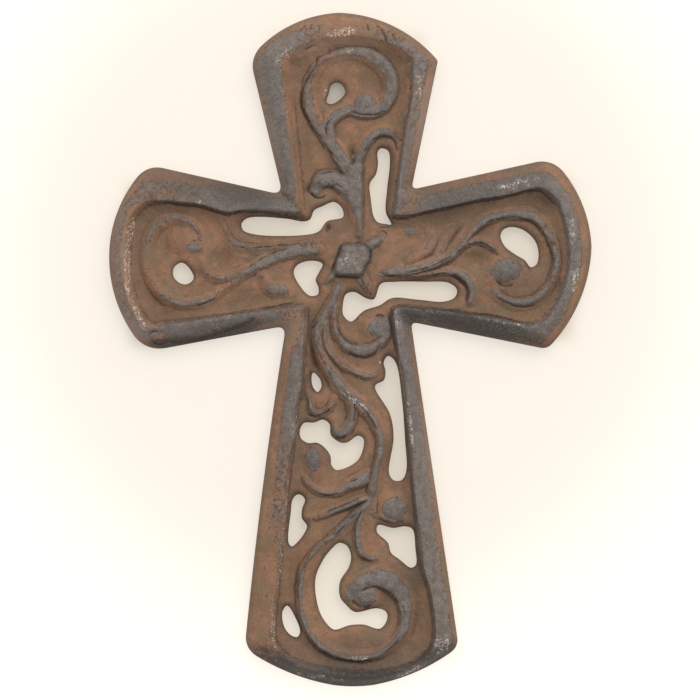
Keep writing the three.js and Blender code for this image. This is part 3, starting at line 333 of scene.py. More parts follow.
# Dark seams and cracks, and painted shadow lines under the strokes, buds and rims, each also cut in
# as a shallow groove: half width, how dark they are, and their line.
SEAMS_AND_SHADOW_LINES = {
    "top_scroll_outer": (0.3, 1, [(-10.7, 72.8), (-11.8, 69.2), (-14, 66), (-15.8, 62.5),
        (-16.9, 59.3), (-17, 56), (-15.6, 52.4), (-13.5, 49.2)]),
    "top_scroll_low": (0.22, 0.7, [(-13.5, 49.2), (-10.7, 45.2), (-8.2, 41.6), (-5.8, 38),
        (-3.3, 35.1)]),
    "top_scroll_end": (0.26, 0.9, [(0.9, 53.7), (3.7, 52.5), (7.3, 52.1), (10.9, 52.5),
        (13.4, 53.8)]),
    "top_leaf_side": (0.24, 0.7, [(-5.2, 51.6), (-7.4, 49.8), (-8.2, 47), (-7.5, 44.1)]),
    "top_fork": (0.5, 0.8, [(2.8, 40), (2.1, 37.2), (1, 34.3)]),
    "arch_under": (0.28, 0.9, [(5, 37.9), (6.4, 40.7), (8.6, 43.2), (11.5, 44.6), (14.4, 44.2),
        (16.5, 42), (17.1, 38.8)]),
    "crescent_under": (0.3, 1, [(-13.8, 26.3), (-13.1, 23.4), (-10.6, 22.7), (-8.1, 23.7)]),
    "crescent_tip": (0.26, 0.9, [(-6.6, 26.2), (-4.5, 27.2), (-2.3, 25.8)]),
    "crescent_over": (0.2, 0.5, [(-10.5, 30.9), (-6.9, 31.9), (-3.4, 30.5), (-0.9, 27.6)]),
    "left_upper_rim": (0.32, 1, [(-70.7, 22), (-66.1, 22), (-60.7, 20.8), (-53.6, 20),
        (-48.2, 18.2), (-43.3, 16.7)]),
    "left_upper_near": (0.26, 0.8, [(-43.3, 16.7), (-40, 18.1), (-31.4, 17.9), (-23.2, 16.4),
        (-16.1, 15.6)]),
    "right_upper_near": (0.34, 1, [(14.3, 15.6), (17.2, 14.8), (20.8, 14.8)]),
    "right_upper_rim": (0.28, 0.95, [(22.2, 15.5), (28.7, 17.2), (34.8, 18.1), (40.1, 19.5),
        (46.6, 20.5), (53.8, 21.5), (59.5, 23.2), (63.8, 24.2), (67.4, 24.2), (70.6, 22),
        (73.1, 19.4)]),
    "left_scroll_low": (0.22, 0.8, [(-55.5, -15.4), (-51.9, -14.3), (-48.3, -12.6)]),
    "left_arch_over": (0.22, 0.8, [(-40.2, 5.5), (-34.1, 5.1), (-28, 5.7), (-22.3, 6),
        (-16.9, 6.7)]),
    "left_branch_over": (0.18, 0.5, [(-36.7, -2), (-31.6, 1.5), (-26.6, 3.6), (-21.6, 4.9)]),
    "right_scroll_root": (0.24, 0.9, [(10.5, -4.1), (12.3, -5.2), (15.1, -5.6)]),
    "right_scroll_under": (0.26, 0.9, [(19.1, -4.9), (23, -3.9), (27, -2.9), (30.6, -1.5),
        (34.2, 0.3), (36.7, 1.7)]),
    "right_scroll_top": (0.34, 1, [(47.9, 13), (51.2, 14), (54.8, 14.7), (58.7, 15), (62.3, 14.2),
        (65.8, 12.7), (68.6, 10.2)]),
    "right_scroll_side": (0.22, 0.6, [(70, 6.6), (71.8, 2.3), (72.8, -2), (72.7, -5.6)]),
    "right_scroll_low": (0.3, 1, [(52.2, -13.6), (56.1, -15.8), (60.4, -17.2), (65.8, -16.6)]),
    "right_leaf_under": (0.2, 0.8, [(37.8, 2), (40.7, 4.5), (43.5, 5.5), (47.1, 5.8), (50.3, 4),
        (52.8, 1.1)]),
    "right_bud_under": (0.5, 1.2, [(51.9, -7.7), (53.6, -9.1), (56, -9.6), (58.6, -9.1)]),
    "right_bud_edge": (0.18, 0.5, [(56.7, -0.7), (60.3, -2.2), (63.5, -3.3), (64.9, -5.9)]),
    "lower_leaf_root": (0.2, 0.8, [(19.1, -6), (24.1, -6), (29.1, -5.4), (34.5, -4.7)]),
    "lower_leaf_shade": (0.7, 0.8, [(35.9, -5.1), (38.7, -6.6), (41.2, -9.1), (42.2, -12.4),
        (41.5, -14.5)]),
    "lobe_line": (0.18, 0.7, [(19.5, -1.3), (21.7, 0.8), (23.5, 2.2)]),
    "slot_pit": (0.9, 0.7, [(-9, 13.4), (-8, 11.9), (-7.4, 10)]),
    "slot_scar": (0.3, 0.7, [(9.6, 11.7), (12.1, 12), (14.6, 12)]),
    "slot_scar_low": (0.25, 0.5, [(9.6, 9.9), (11.8, 10.6), (13.5, 9.1)]),
    "leg_corner": (0.28, 0.8, [(13.5, -19.1), (14.2, -23.4), (14.8, -27.7), (15.9, -32.1)]),
    "leg_corner_top": (0.24, 0.8, [(14.6, -18.4), (16.8, -17), (18.9, -16.7)]),
    "leg_hook_over": (0.26, 0.9, [(-5.1, -23.5), (-3.4, -26.8), (-0.6, -29.3), (2.3, -30.1)]),
    "leg_hook_under": (0.34, 0.95, [(-1.3, -32.5), (1.9, -34), (5.5, -34.4), (8.7, -32.3),
        (10.2, -30.5)]),
    "hook_bud_over": (0.4, 0.9, [(8.1, -20.2), (9.9, -19.5), (11.9, -20)]),
    "leg_lobe_under": (0.2, 0.7, [(-2.5, -38.6), (1.1, -40.8), (3.9, -41.6)]),
    "leg_stem_mid": (0.22, 0.6, [(-12.7, -29.9), (-11, -34.6), (-8.9, -38.9), (-6.5, -43.2)]),
    "leg_stem_top": (0.2, 0.7, [(-14.1, -23.8), (-11.9, -21.7), (-10.5, -19.9)]),
    "leg_stem_under": (0.42, 1, [(-4.4, -45.4), (-1.2, -48.3), (1.7, -50.8), (4.5, -53.7),
        (6.9, -57.3), (8.7, -60.9)]),
    "leg_loop_under": (0.26, 0.9, [(-15.9, -54.5), (-13.4, -55.3), (-10.2, -54.2), (-7.3, -52.5)]),
    "leg_tongue_side": (0.24, 0.8, [(0.6, -50.5), (0.9, -54), (0.1, -58.3)]),
    "leg_tongue_tip": (0.3, 0.9, [(-6.7, -62.2), (-4.6, -63.3), (-2.1, -61.9)]),
    "leg_cradle_under": (0.26, 0.9, [(-15.5, -80.7), (-12.7, -82.8), (-8.1, -83.6), (-3.8, -82.2)]),
    "leg_cradle_band": (0.26, 0.7, [(-3.7, -79.4), (-0.5, -78.7), (2.4, -77.3)]),
    "leg_vein_under": (0.26, 0.85, [(-9.9, -89.3), (-5.6, -87.9), (-1.3, -86.2), (2.3, -84.5)]),
    "leg_vein_low": (0.24, 0.8, [(-7.8, -90.8), (-3.1, -89), (1.2, -87.3), (4.4, -85.9)]),
    "foot_root": (0.34, 0.95, [(1.5, -89.5), (-1.4, -92.3), (-4.3, -95.5), (-7.2, -98.3)]),
    "foot_outer": (0.2, 0.5, [(-18.4, -109.2), (-19.9, -114.6), (-20.4, -119.9), (-19.7, -125.3)]),
    "foot_tongue_side": (0.22, 0.7, [(2.9, -89.1), (0.7, -94.1), (0.3, -99.8), (1.3, -104.1)]),
    "foot_tongue_end": (0.34, 0.95, [(2, -105.6), (4.5, -107), (7.4, -107.4)]),
    "bridge_under": (0.34, 0.9, [(8.3, -91.7), (11.1, -93.2), (14.7, -93.9), (17.9, -92.9)]),
    "bridge_side": (0.3, 0.7, [(8.7, -86), (8.3, -88.8), (8.6, -91.7)]),
    "foot_scroll_low": (0.34, 1, [(-12, -139), (-8.1, -141.2), (-3.1, -142.7), (2.2, -143.1),
        (6.5, -142.1)]),
    "foot_scroll_right": (0.24, 0.8, [(10.1, -140.4), (13.4, -137.9), (15.9, -134.7)]),
    "foot_scroll_side": (0.2, 0.6, [(16.7, -131.5), (17.5, -127.2), (17.2, -122.9)]),
    "foot_end_arc": (0.36, 1, [(2.2, -118.1), (5.1, -116.7), (8.3, -116.7), (11.5, -117.9),
        (14, -120), (15.7, -122.9)]),
    "foot_bud_under": (0.6, 0.9, [(-1.4, -120.9), (1.1, -123.1), (3.9, -123.8), (6.1, -122.8)]),
    "boss_left": (0.26, 0.8, [(-3, 6.1), (-4.4, 2.9), (-5.6, -0.6), (-7, -3.5)]),
    "boss_under": (0.26, 0.8, [(-6, -5.3), (-2.4, -5.7), (0.8, -6.1), (3.3, -6.1)]),
    "boss_right": (0.2, 0.6, [(6.7, 4.9), (7.4, 2.1), (6.6, -0.4)]),
    "ray_lower_right": (0.22, 0.8, [(3.7, -6.5), (5.4, -9.7), (7.9, -13)]),
    "left_lower_band": (0.5, 1.3, [(-67.5, -28.1), (-62.1, -28.2), (-54.9, -27.2), (-49.2, -25.8),
        (-43.4, -24.1), (-37.7, -21.7), (-34.1, -19.9)]),
    "left_lower_crest": (0.2, 0.6, [(-31.9, -16.8), (-25.4, -15.4), (-19.7, -14.4)]),
    "flaw_rim": (0.36, 1.2, [(-72.6, -26), (-71.2, -24.4), (-68.8, -24.2)]),
    "flaw_edge": (0.26, 1, [(-71.4, -27.2), (-70, -28.6), (-67.4, -28.7), (-66.2, -27.4)]),
    "right_lower_crest": (0.24, 0.8, [(17.5, -16.7), (26.4, -17.5), (35.4, -18.4), (44.3, -19.5),
        (53.2, -20.7), (60.3, -23)]),
    "pit_line_top": (0.45, 1.1, [(9.9, 84.3), (11.8, 82.9), (13.2, 80.3), (13.9, 77.4)]),
    "pit_line_top_two": (0.3, 0.7, [(15.2, 81.4), (16.9, 79.2), (18.2, 76.4)]),
    "pit_line_corner": (0.2, 0.5, [(-16, 75.3), (-13.8, 76.4), (-11.3, 77.4)]),
    "top_crack": (0.35, 0.9, [(6.4, 85.2), (7.3, 83.4), (7.6, 81.4)]),
}

# The outline, clockwise from the inner corner between the left and top arms: each corner,
# how far it is rounded, and how far the edge after it bows out.
OUTLINE = [
    ((-23.9, 24), 4.5, 0), ((-35, 73), 5.5, 3.9), ((-3, 88.9), 0, 4.2), ((32.2, 71.3), 0.8, 0),
    ((22.1, 25.3), 2.4, 0), ((72.3, 35.7), 6, 3.4), ((86.3, 4), 0, 3.8), ((69.9, -32.4), 2.6, 0),
    ((21.3, -22), 2.4, 0), ((36.9, -138.4), 3.4, 3), ((-1, -152.6), 7, 2.8),
    ((-39.7, -138), 5, 0.9), ((-23.4, -22.8), 4, 0), ((-73.2, -31.4), 7, 3.8), ((-86.3, 4), 0, 3.4),
    ((-71.8, 35.4), 5.5, 0),
]

# The rim, one run for each side, clockwise from the same corner: where its crest lies across
# it, from where to where it is worn grey (shares of its width from the outside), how high the
# foot of its inner slope is, how grey it is at even shares of the run, and the line of the foot,
# which goes on to the start of the next run's.
RimSide = namedtuple("RimSide", "crest worn_from worn_to low grey foot")
RIM_SIDES = {
    "top_left": RimSide(
        0.66, 0.12, 0.66, 5.8, (0.5, 0.85, 0.9, 0.8),
        [(-15.7, 16.3), (-18.2, 43.5)]),
    "top": RimSide(
        0.6, 0.15, 0.75, 6.7, (0.8, 0.45, 0.1, 0.05, 0.1, 0.35, 0.45),
        [(-20.4, 71.5), (-15.3, 73.9), (-9.9, 76), (0.8, 77.3), (9.8, 76.4), (16.9, 73.8)]),
    "top_right": RimSide(
        0.8, 0.38, 1, 7.2, (0.4, 0.45, 0.55, 0.8, 0.9),
        [(21.9, 70.9), (21.7, 57.3), (19.4, 46.6), (17.4, 32.3)]),
    "right_upper": RimSide(
        0.93, 0.35, 0.99, 6.8, (0.5, 0.75, 0.9, 0.9, 0.9),
        [(14.7, 15.5), (20.8, 15.5), (26.9, 16.8), (34, 18.2), (46.6, 20.9), (57.4, 22.5),
         (64.5, 24.2)]),
    "right_end": RimSide(
        0.8, 0.42, 0.98, 7, (0.9, 0.85, 0.75, 0.8, 0.85),
        [(68.1, 24.2), (69.9, 23.1), (72.7, 20.5), (74.5, 16.6), (76.5, 8.3), (77.1, -1.4),
         (75.6, -8.5), (73.7, -13.8), (71.1, -18.5), (67.5, -22)]),
    "right_lower": RimSide(
        0.9, 0.12, 0.97, 5.8, (0.9, 0.9, 0.9, 0.95),
        [(63.2, -23.4), (53.2, -21.1), (42.5, -19.2), (31.8, -17.6), (17.5, -16.3)]),
    "leg_right": RimSide(
        0.88, 0.2, 0.96, 5.8, (0.95, 0.8, 0.75, 0.7, 0.7, 0.65, 0.7),
        [(14.3, -16.6), (14.6, -21.3), (16.2, -33.8), (18.1, -50), (19.7, -64.3), (20.9, -82.2),
         (21.9, -93), (22.8, -101.9), (24.1, -110.9), (26.2, -118.1), (27.8, -128.8)]),
    "bottom": RimSide(
        0.82, 0.12, 0.95, 6.2, (0.7, 0.9, 0.95, 0.85, 0.6),
        [(27.8, -134.9), (25.9, -139.5), (21.2, -143), (12.2, -145.8), (1.5, -146.7),
         (-9.2, -145.5), (-19.9, -142.5)]),
    "leg_left": RimSide(
        0.86, 0.4, 0.95, 6, (0.3, 0.1, 0.12, 0.2, 0.35, 0.6, 0.85, 0.85, 0.2),
        [(-25.3, -139.6), (-28.1, -135.2), (-28.3, -128.1), (-26.7, -113.8), (-25.5, -101.3),
         (-24.3, -92.3), (-23.1, -81.6), (-22.3, -74.5), (-20.7, -63.8), (-19.5, -53.1),
         (-17.2, -44.1), (-16.5, -31.6), (-15.7, -24.5)]),
    "left_lower": RimSide(
        0.88, 0.3, 0.96, 5.8, (0.35, 0.75, 0.85, 0.85),
        [(-15.3, -15.1), (-29, -16.6), (-39.8, -17.8), (-54.1, -19.7)]),
    "left_end": RimSide(
        0.66, 0.15, 0.55, 6, (0.6, 0.45, 0.4, 0.4, 0.45),
        [(-70.2, -21.3), (-73.1, -19.4), (-75.5, -15.1), (-77.2, -9.4), (-78.5, -0.4), (-78.4, 8.5),
         (-76.5, 16.4)]),
    "left_upper": RimSide(
        0.93, 0.3, 1, 6.8, (0.35, 0.5, 0.9, 0.95, 0.95),
        [(-72.2, 21), (-66.1, 21.6), (-60.7, 21.2), (-53.6, 20.4), (-43.6, 17.4), (-39.3, 18),
         (-28.6, 17.9)]),
}


# Plan geometry

def smooth_line(points, step, closed=False):
    """A smooth curve through the points, as places in even steps."""
    p = np.array(points, float)
    if closed:
        p = np.vstack([p[-1], p, p[0], p[1]])
    else:
        p = np.vstack([2 * p[0] - p[1], p, 2 * p[-1] - p[-2]])
    curve = []
    for a, b, c, d in zip(p, p[1:], p[2:], p[3:]):
        knots = np.cumsum([0] + [np.linalg.norm(v) ** 0.5 for v in (b - a, c - b, d - c)])
        u = np.linspace(knots[1], knots[2], CURVE_STEPS, endpoint=False)[:, None]

        def mix(left, right, start, end):
            return (left * (end - u) + right * (u - start)) / (end - start)

        ab, bc, cd = mix(a, b, *knots[:2]), mix(b, c, *knots[1:3]), mix(c, d, *knots[2:])
        curve.append(mix(mix(ab, bc, knots[0], knots[2]), mix(bc, cd, knots[1], knots[3]),
                         knots[1], knots[2]))
    return even_steps(np.vstack(curve + [p[-2]]), step, closed)


def even_steps(line, step, closed=False):
    """The same line in even steps; a closed one ends a step before its start."""
    reach = np.concatenate([[0], np.cumsum(np.linalg.norm(np.diff(line, axis=0), axis=1))])
    count = max(3, round(reach[-1] / step))
    at = np.linspace(0, reach[-1], count + 1)
    places = np.column_stack([np.interp(at, reach, line[:, k]) for k in (0, 1)])
    return places[:-1] if closed else places


def outline_edge(start, end, bow):
    """One edge of the outline, bowed out to its left, clockwise round the cross."""
    start, end = np.array(start, float), np.array(end, float)
    share = np.linspace(0, 1, 5 * CURVE_STEPS + 1)[:, None]
    line = start + (end - start) * share
    if bow:
        chord = np.linalg.norm(end - start)
        radius = chord**2 / (8 * bow) + bow / 2
        lift = np.sqrt(radius**2 - (chord * (share - 0.5)) ** 2) - (radius - bow)
        across = (end - start)[::-1] * (-1, 1) / chord
        line = line + across * lift
    return even_steps(line, EDGE_STEP)


def outline_loop(step):
    """The outer edge, clockwise, with its corners rounded."""
    ahead = OUTLINE[1:] + OUTLINE[:1]
    edges = [outline_edge(here[0], there[0], here[2]) for here, there in zip(OUTLINE, ahead)]
    loop = []
    for i, (corner, rounding, _) in enumerate(OUTLINE):
        before, after = edges[i - 1], edges[i]
        cut = round(rounding / EDGE_STEP)
        if cut:
            entry, leave = before[-1 - cut], after[cut]
            u = np.linspace(0, 1, 2 * cut + 1)[:, None]
            loop.append(entry * (1 - u) ** 2 + 2 * np.array(corner) * u * (1 - u) + leave * u**2)
        loop.append(after[cut + 1:len(after) - round(ahead[i][1] / EDGE_STEP)])
    loop = np.vstack(loop)
    return even_steps(np.vstack([loop, loop[:1]]), step, closed=True)


def tree_of(places):
    tree = KDTree(len(places))
    for i, (x, z) in enumerate(places):
        tree.insert((x, z, 0), i)
    tree.balance()
    return tree


def nearest(points, line, closed=False):
    """How far each point is from a line, on which side (left is +1), and its share along it."""
    tree = tree_of(line)
    closest = np.array([tree.find((x, z, 0))[1] for x, z in points])
    last = len(line) if closed else len(line) - 1
    found = []
    for start in (closest - 1, closest):
        start = start % last if closed else np.clip(start, 0, last - 1)
        run = line[(start + 1) % len(line)] - line[start]
        offset = points - line[start]
        u = np.clip((offset * run).sum(1) / (run**2).sum(1), 0, 1)
        far = np.linalg.norm(offset - u[:, None] * run, axis=1)
        side = np.sign(run[:, 0] * offset[:, 1] - run[:, 1] * offset[:, 0])
        found.append((far, side, (start + u) / last))
    first = found[0][0] <= found[1][0]
    return [np.where(first, a, b) for a, b in zip(*found)]


def clear_of(points, taken, reach):
    """Those of the points that are farther than reach from all the taken ones."""
    tree = tree_of(taken)
    return points[[tree.find((x, z, 0))[2] > reach for x, z in points]]


def around(points, line, margin):
    """Whether each point lies in the line's box, grown by a margin."""
    return np.all((points > line.min(0) - margin) & (points < line.max(0) + margin), axis=1)


def inside(points, loop):
    """Whether each point lies inside a closed loop."""
    order = points[:, 1].argsort()
    x, z = points[order].T
    result = np.zeros(len(points), bool)
    for (x0, z0), (x1, z1) in zip(loop, np.roll(loop, -1, axis=0)):
        if z0 != z1:
            level = slice(*np.searchsorted(z, sorted((z0, z1))))
            result[level] ^= x[level] < (x1 - x0) * (z[level] - z0) / (z1 - z0) + x0
    back = np.empty(len(points), bool)
    back[order] = result
    return back


def on_iron(points, loops):
    """Whether each point lies inside the first loop and outside the others."""
    keep = inside(points, loops[0])
    for loop in loops[1:]:
        keep &= ~inside(points, loop)
    return keep


def mottle(points, size, seed, octaves=3):
    """Smooth random values from about -1 to 1, with patches of the given size."""
    total = np.zeros(len(points))
    for octave in range(octaves):
        scaled = points / size * 2**octave + 100 + 7.3 * octave
        cell = np.floor(scaled).astype(int)
        u = scaled - cell
        u = u * u * (3 - 2 * u)
        lattice = np.random.default_rng(seed + octave).uniform(-1, 1, (256, 256))

        def corner(dx, dz):
            return lattice[(cell[:, 0] + dx) % 256, (cell[:, 1] + dz) % 256]

        low = corner(0, 0) * (1 - u[:, 0]) + corner(1, 0) * u[:, 0]
        high = corner(0, 1) * (1 - u[:, 0]) + corner(1, 1) * u[:, 0]
        total += (low * (1 - u[:, 1]) + high * u[:, 1]) / 2**octave
    return total


def ramp(value, low, high):
    """0 below low, 1 above high, and smooth between."""
    u = np.clip((value - low) / (high - low), 0, 1)
    return u * u * (3 - 2 * u)


def spread(share, values):
    """The value at a share of the way along, from values at even steps."""
    values = np.atleast_1d(values)
    return np.interp(share, np.linspace(0, 1, len(values)), values)


def place_in(points, at, half, turn):
    """Places relative to an oval: 1 on its edge."""
    a = math.radians(turn)
    offset = points - at
    along = offset[:, 0] * math.cos(a) + offset[:, 1] * math.sin(a)
    across = offset[:, 1] * math.cos(a) - offset[:, 0] * math.sin(a)
    return along / half[0], across / half[1]


def rim_foot():
    """The foot of the rim all round, with its crest, worn band and greyness at each place."""
    rows, sides = [], list(RIM_SIDES.values())
    for side, ahead in zip(sides, sides[1:] + sides[:1]):
        line = smooth_line([*side.foot, ahead.foot[0]], RIM_STEP)[:-1]
        share = np.linspace(0, 1, len(line))
        look = np.tile((side.crest, side.worn_from, side.worn_to, side.low), (len(line), 1))
        rows.append(np.column_stack([line, look, spread(share, side.grey)]))
    rows = np.vstack(rows)
    ring = np.vstack([rows[-RIM_BLEND:], rows, rows[:RIM_BLEND]])
    even = np.full(2 * RIM_BLEND + 1, 1 / (2 * RIM_BLEND + 1))
    for k in range(2, rows.shape[1]):
        rows[:, k] = np.convolve(ring[:, k], even, "valid")
    return rows[:, :2], rows[:, 2:]


outer = outline_loop(FINE)
outer_plain = outline_loop(PLAIN)
gaps = [smooth_line(points, FINE, closed=True) for points in GAPS.values()]
boss = smooth_line(BOSS, FINE, closed=True)
rim_section = smooth_line(RIM_SECTION, 0.05)
rim_inner, rim_looks = rim_foot()


# The relief

def softer_of(a, b, blend):
    """The higher of two surfaces, with a fillet where they cross."""
    mixed = np.clip(0.5 + (a - b) / (2 * blend), 0, 1)
    higher = a * mixed + b * (1 - mixed)
    return higher + np.minimum(blend, np.abs(a - b)) * mixed * (1 - mixed)


def lifted(ground, share, rise):
    """A form that rises to a set height over the field, but runs out into the ground round it."""
    return ground + (FIELD - ground) * np.clip(2 * share, 0, 1) + rise * share


def raise_stroke(points, ground, heights, worn, stroke, ragged):
    """Raises a stroke as a low ridge, its crest towards its steeper side."""
    line = smooth_line(stroke.line, STROKE_STEP)
    near = around(points, line, 9)
    distance, side, share = nearest(points[near], line)
    half = spread(share, stroke.width)
    left, right = spread(share, stroke.left), spread(share, stroke.right)
    to_end = np.minimum(share, 1 - share) * STROKE_STEP * len(line)
    rise = stroke.rise * (0.35 + 0.65 * ramp(to_end, 0, 4)) * (1 + 0.12 * ragged[near])
    across = side * distance + 0.15 * ragged[near]
    crest = 0.7 * half * (right - left) / (right + left)
    top = 1 - 0.16 * ((np.clip(across, -half, half) - crest) / half) ** 2
    reach = np.where(across > 0, left, right)
    beyond = np.clip((np.abs(across) - half) / reach, 0, 1)
    share_up = top * (1 - beyond) ** 1.5
    heights[near] = softer_of(heights[near], lifted(ground[near], share_up, rise), FILLET)
    rub = spread(share, stroke.grey) * ramp(1.5 * half - np.abs(across), 0, 0.8 * half)
    worn[near] = np.maximum(worn[near], rub)


def raise_bud(points, ground, heights, worn, bud, ragged):
    """Raises a low dome."""
    at, half, turn, rise, grey = bud
    r = np.hypot(*place_in(points, at, half, turn)) * (1 + 0.08 * ragged)
    dome = np.where(r < 1, 1 - 0.5 * r**2, 0.5 * np.clip(1 - (r - 1) / 1.1, 0, 1) ** 2)
    heights[:] = softer_of(heights, lifted(ground, dome, rise), FILLET)
    worn[:] = np.maximum(worn, grey * ramp(1.25 - r, 0, 0.6))


def raise_boss(points, heights, worn):
    """Raises the steep-sided boss at the crossing, with a rough flat top."""
    rough = mottle(points, 1.7, 5)
    shore = nearest(points, boss, closed=True)[0] * np.where(inside(points, boss), 1, -1)
    crown = FIELD + BOSS_RISE * ramp(shore + 0.25 * rough, -0.7, 1.3) + 0.1 * shore + 0.2 * rough
    heights[:] = np.where(shore > -0.7, np.maximum(heights, crown), heights)
    worn[:] = np.maximum(worn, ramp(shore + 0.2 * rough, -0.6, 0.2))


def lay_rim(points, heights, worn, edge, foot, looks):
    """Lays the rim round the field, with the flaw on it."""
    crest, worn_from, worn_to, low, grey = looks
    in_field = inside(points, rim_inner)
    band = np.where(in_field, 1, edge / (edge + foot + 1e-9))
    # The section's crest is moved to where it lies on this side.
    section_at = np.where(band < crest, band * RIM_CREST / crest,
                          RIM_CREST + (band - crest) * (1 - RIM_CREST) / (1 - crest))
    rim = np.interp(section_at, *rim_section.T)
    wall = low + (rim - RIM_FOOT) * (RIM_TOP - low) / (RIM_TOP - RIM_FOOT)
    rim = np.where(section_at > RIM_CREST, wall, rim)
    rubbed = grey * ramp(band, worn_from - 0.14, worn_from + 0.12)
    rubbed *= 1 - ramp(band, worn_to - 0.03, worn_to + 0.05)
    plate = ramp(1.15 - np.hypot(*place_in(points, *FLAW)), 0, 0.3)
    heights[:] = np.where(in_field, heights, rim) + FLAW_RISE * plate
    worn[:] = np.where(in_field, worn, rubbed) * (1 - plate)


def cut_seams_and_shadow_lines(points, heights):
    """Cuts the seams, cracks and shadow lines into the front, and returns how dark each place is:
    dark seams and cracks, and painted shadow along the shadow lines.
    """
    dark = np.zeros(len(points))
    broken = np.clip(0.88 + 0.35 * mottle(points, 2.4, 31), 0, 1.2)
    for width, darkness, line in SEAMS_AND_SHADOW_LINES.values():
        line = smooth_line(line, FINE)
        near = around(points, line, 3)
        distance, _, share = nearest(points[near], line)
        ends = ramp(np.minimum(share, 1 - share) * len(line) * FINE, 0, 1.5)
        fade = np.exp(-((distance / (1.25 * width)) ** 2)) * (0.3 + 0.7 * ends)
        dark[near] = np.maximum(dark[near], darkness * fade * broken[near])
    dark = np.clip(dark, 0, 1)
    heights -= SEAM_DEPTH * dark
    return dark


def relief(points):
    """The height of the carved front over each place, how worn and dark it is, and how far it
    is from a gap."""
    edge = nearest(points, outer_plain, closed=True)[0]
    foot, _, share = nearest(points, rim_inner, closed=True)
    looks = [np.interp(share * len(rim_inner), np.arange(len(rim_inner) + 1),
                       np.append(look, look[0])) for look in rim_looks.T]
    gap = np.full(len(points), 99.0)
    for loop in gaps:
        near = around(points, loop, 5)
        gap[near] = np.minimum(gap[near], nearest(points[near], loop, closed=True)[0])

    ground = sum((much * mottle(points, size, seed) for much, size, seed in SWELLS), FIELD)
    ground += (looks[3] - FIELD) * np.exp(-foot / COVE)
    ground += MOUND * np.exp(-(points**2).sum(1) / MOUND_SPREAD**2)
    for at, half, turn, depth in HOLLOWS.values():
        u, v = place_in(points, at, half, turn)
        ground -= depth * np.exp(-(u * u + v * v))
    heights, worn = ground.copy(), np.zeros(len(points))
    ragged = mottle(points, 2.6, 41)
    for stroke in STROKES.values():
        raise_stroke(points, ground, heights, worn, stroke, ragged)
    for bud in BUDS.values():
        raise_bud(points, ground, heights, worn, bud, ragged)
    raise_boss(points, heights, worn)
    lay_rim(points, heights, worn, edge, foot, looks)
    draft = 1 - np.exp(-((gap / GAP_DRAFT) ** 1.3))
    heights = GAP_EDGE + (heights - GAP_EDGE) * draft
    dark = cut_seams_and_shadow_lines(points, heights)
    heights += sum(much * mottle(points, size, seed) for much, size, seed in SKIN)
    return np.minimum(heights, TOP), worn, dark, gap


# The casting's mesh

Front = namedtuple("Front", "points faces heights worn dark gap")


def hex_points(low, high, step):
    """Points on a grid of even triangles, and which of them make one of twice the step."""
    rows = np.arange(low[1], high[1], step * math.sqrt(3) / 2)
    cols = np.arange(low[0], high[0], step)
    count = np.arange(len(cols))
    places = [np.column_stack([cols + step / 2 * (i % 2), np.full(len(cols), z)])
              for i, z in enumerate(rows)]
    sparse = [(i % 2 == 0) & (count % 2 == i // 2 % 2) for i in range(len(rows))]
    return np.vstack(places), np.concatenate(sparse)


def triangulate(loops, extra):
    """Triangles over the plan between the loops: the first is the outer edge, the rest are gaps."""
    points = np.vstack([*loops, extra])
    edges, start = [], 0
    for loop in loops:
        n = len(loop)
        edges += [(start + i, start + (i + 1) % n) for i in range(n)]
        start += n
    out = delaunay_2d_cdt([Vector(p) for p in points], edges, [], 0, 1e-5, True)
    places, faces = np.array(out[0]), np.array(out[2])
    faces = faces[on_iron(places[faces].mean(1), loops)]
    faces = np.array([old[0] for old in out[3]])[faces]
    a, b, c = (points[faces[:, k]] for k in range(3))
    turned = (b[:, 0] - a[:, 0]) * (c[:, 1] - a[:, 1]) < (b[:, 1] - a[:, 1]) * (c[:, 0] - a[:, 0])
    faces[turned] = faces[turned][:, ::-1]
    return points, faces


def shrink(loop, by):
    """A loop moved to its right by a distance, for the small bevel round the back."""
    ahead = np.roll(loop, -1, axis=0) - np.roll(loop, 1, axis=0)
    normal = np.column_stack([ahead[:, 1], -ahead[:, 0]])
    return loop + by * normal / np.linalg.norm(normal, axis=1)[:, None]


def anticlockwise(loop):
    x, z = loop.T
    area = (x * np.roll(z, -1) - np.roll(x, -1) * z).sum()
    return loop if area > 0 else loop[::-1]


def rim_crest():
    """The line of the rim's crest, between its foot and the nearest place on the outer edge."""
    _, _, share = nearest(rim_inner, outer_plain, closed=True)
    spot = share * len(outer_plain)
    before = outer_plain[spot.astype(int) % len(outer_plain)]
    after = outer_plain[(spot.astype(int) + 1) % len(outer_plain)]
    on_edge = before + (after - before) * (spot % 1)[:, None]
    return rim_inner + (on_edge - rim_inner) * (1 - rim_looks[:, :1])


def carve_front(loops):
    """The front, meshed finely with its spines, seams and rim lines kept, and coarser on the
    smooth middle of the rim."""
    grid, sparse = hex_points(outer.min(0), outer.max(0), FINE)
    keep = on_iron(grid, [outer, *gaps])
    grid, sparse = grid[keep], sparse[keep]
    edge = nearest(grid, outer_plain, closed=True)[0]
    foot = nearest(grid, rim_inner, closed=True)[0]
    smooth_rim = ~inside(grid, rim_inner) & (edge > 2.2) & (foot > 3.4)
    grid = grid[sparse | ~smooth_rim]
    spines = [smooth_line(stroke.line, FINE) for stroke in STROKES.values()]
    seams = np.vstack([smooth_line(line, FINE) for _, _, line in SEAMS_AND_SHADOW_LINES.values()])
    lines = clear_of(np.vstack([*spines, rim_inner, rim_crest()]), seams, 0.3)
    lines = np.vstack([seams, lines])
    lines = clear_of(lines[on_iron(lines, loops)], np.vstack(loops), 0.25)
    grid = clear_of(grid, np.vstack([*loops, lines]), 0.3)
    points, faces = triangulate(loops, np.vstack([lines, grid]))
    return Front(points, faces, *relief(points))


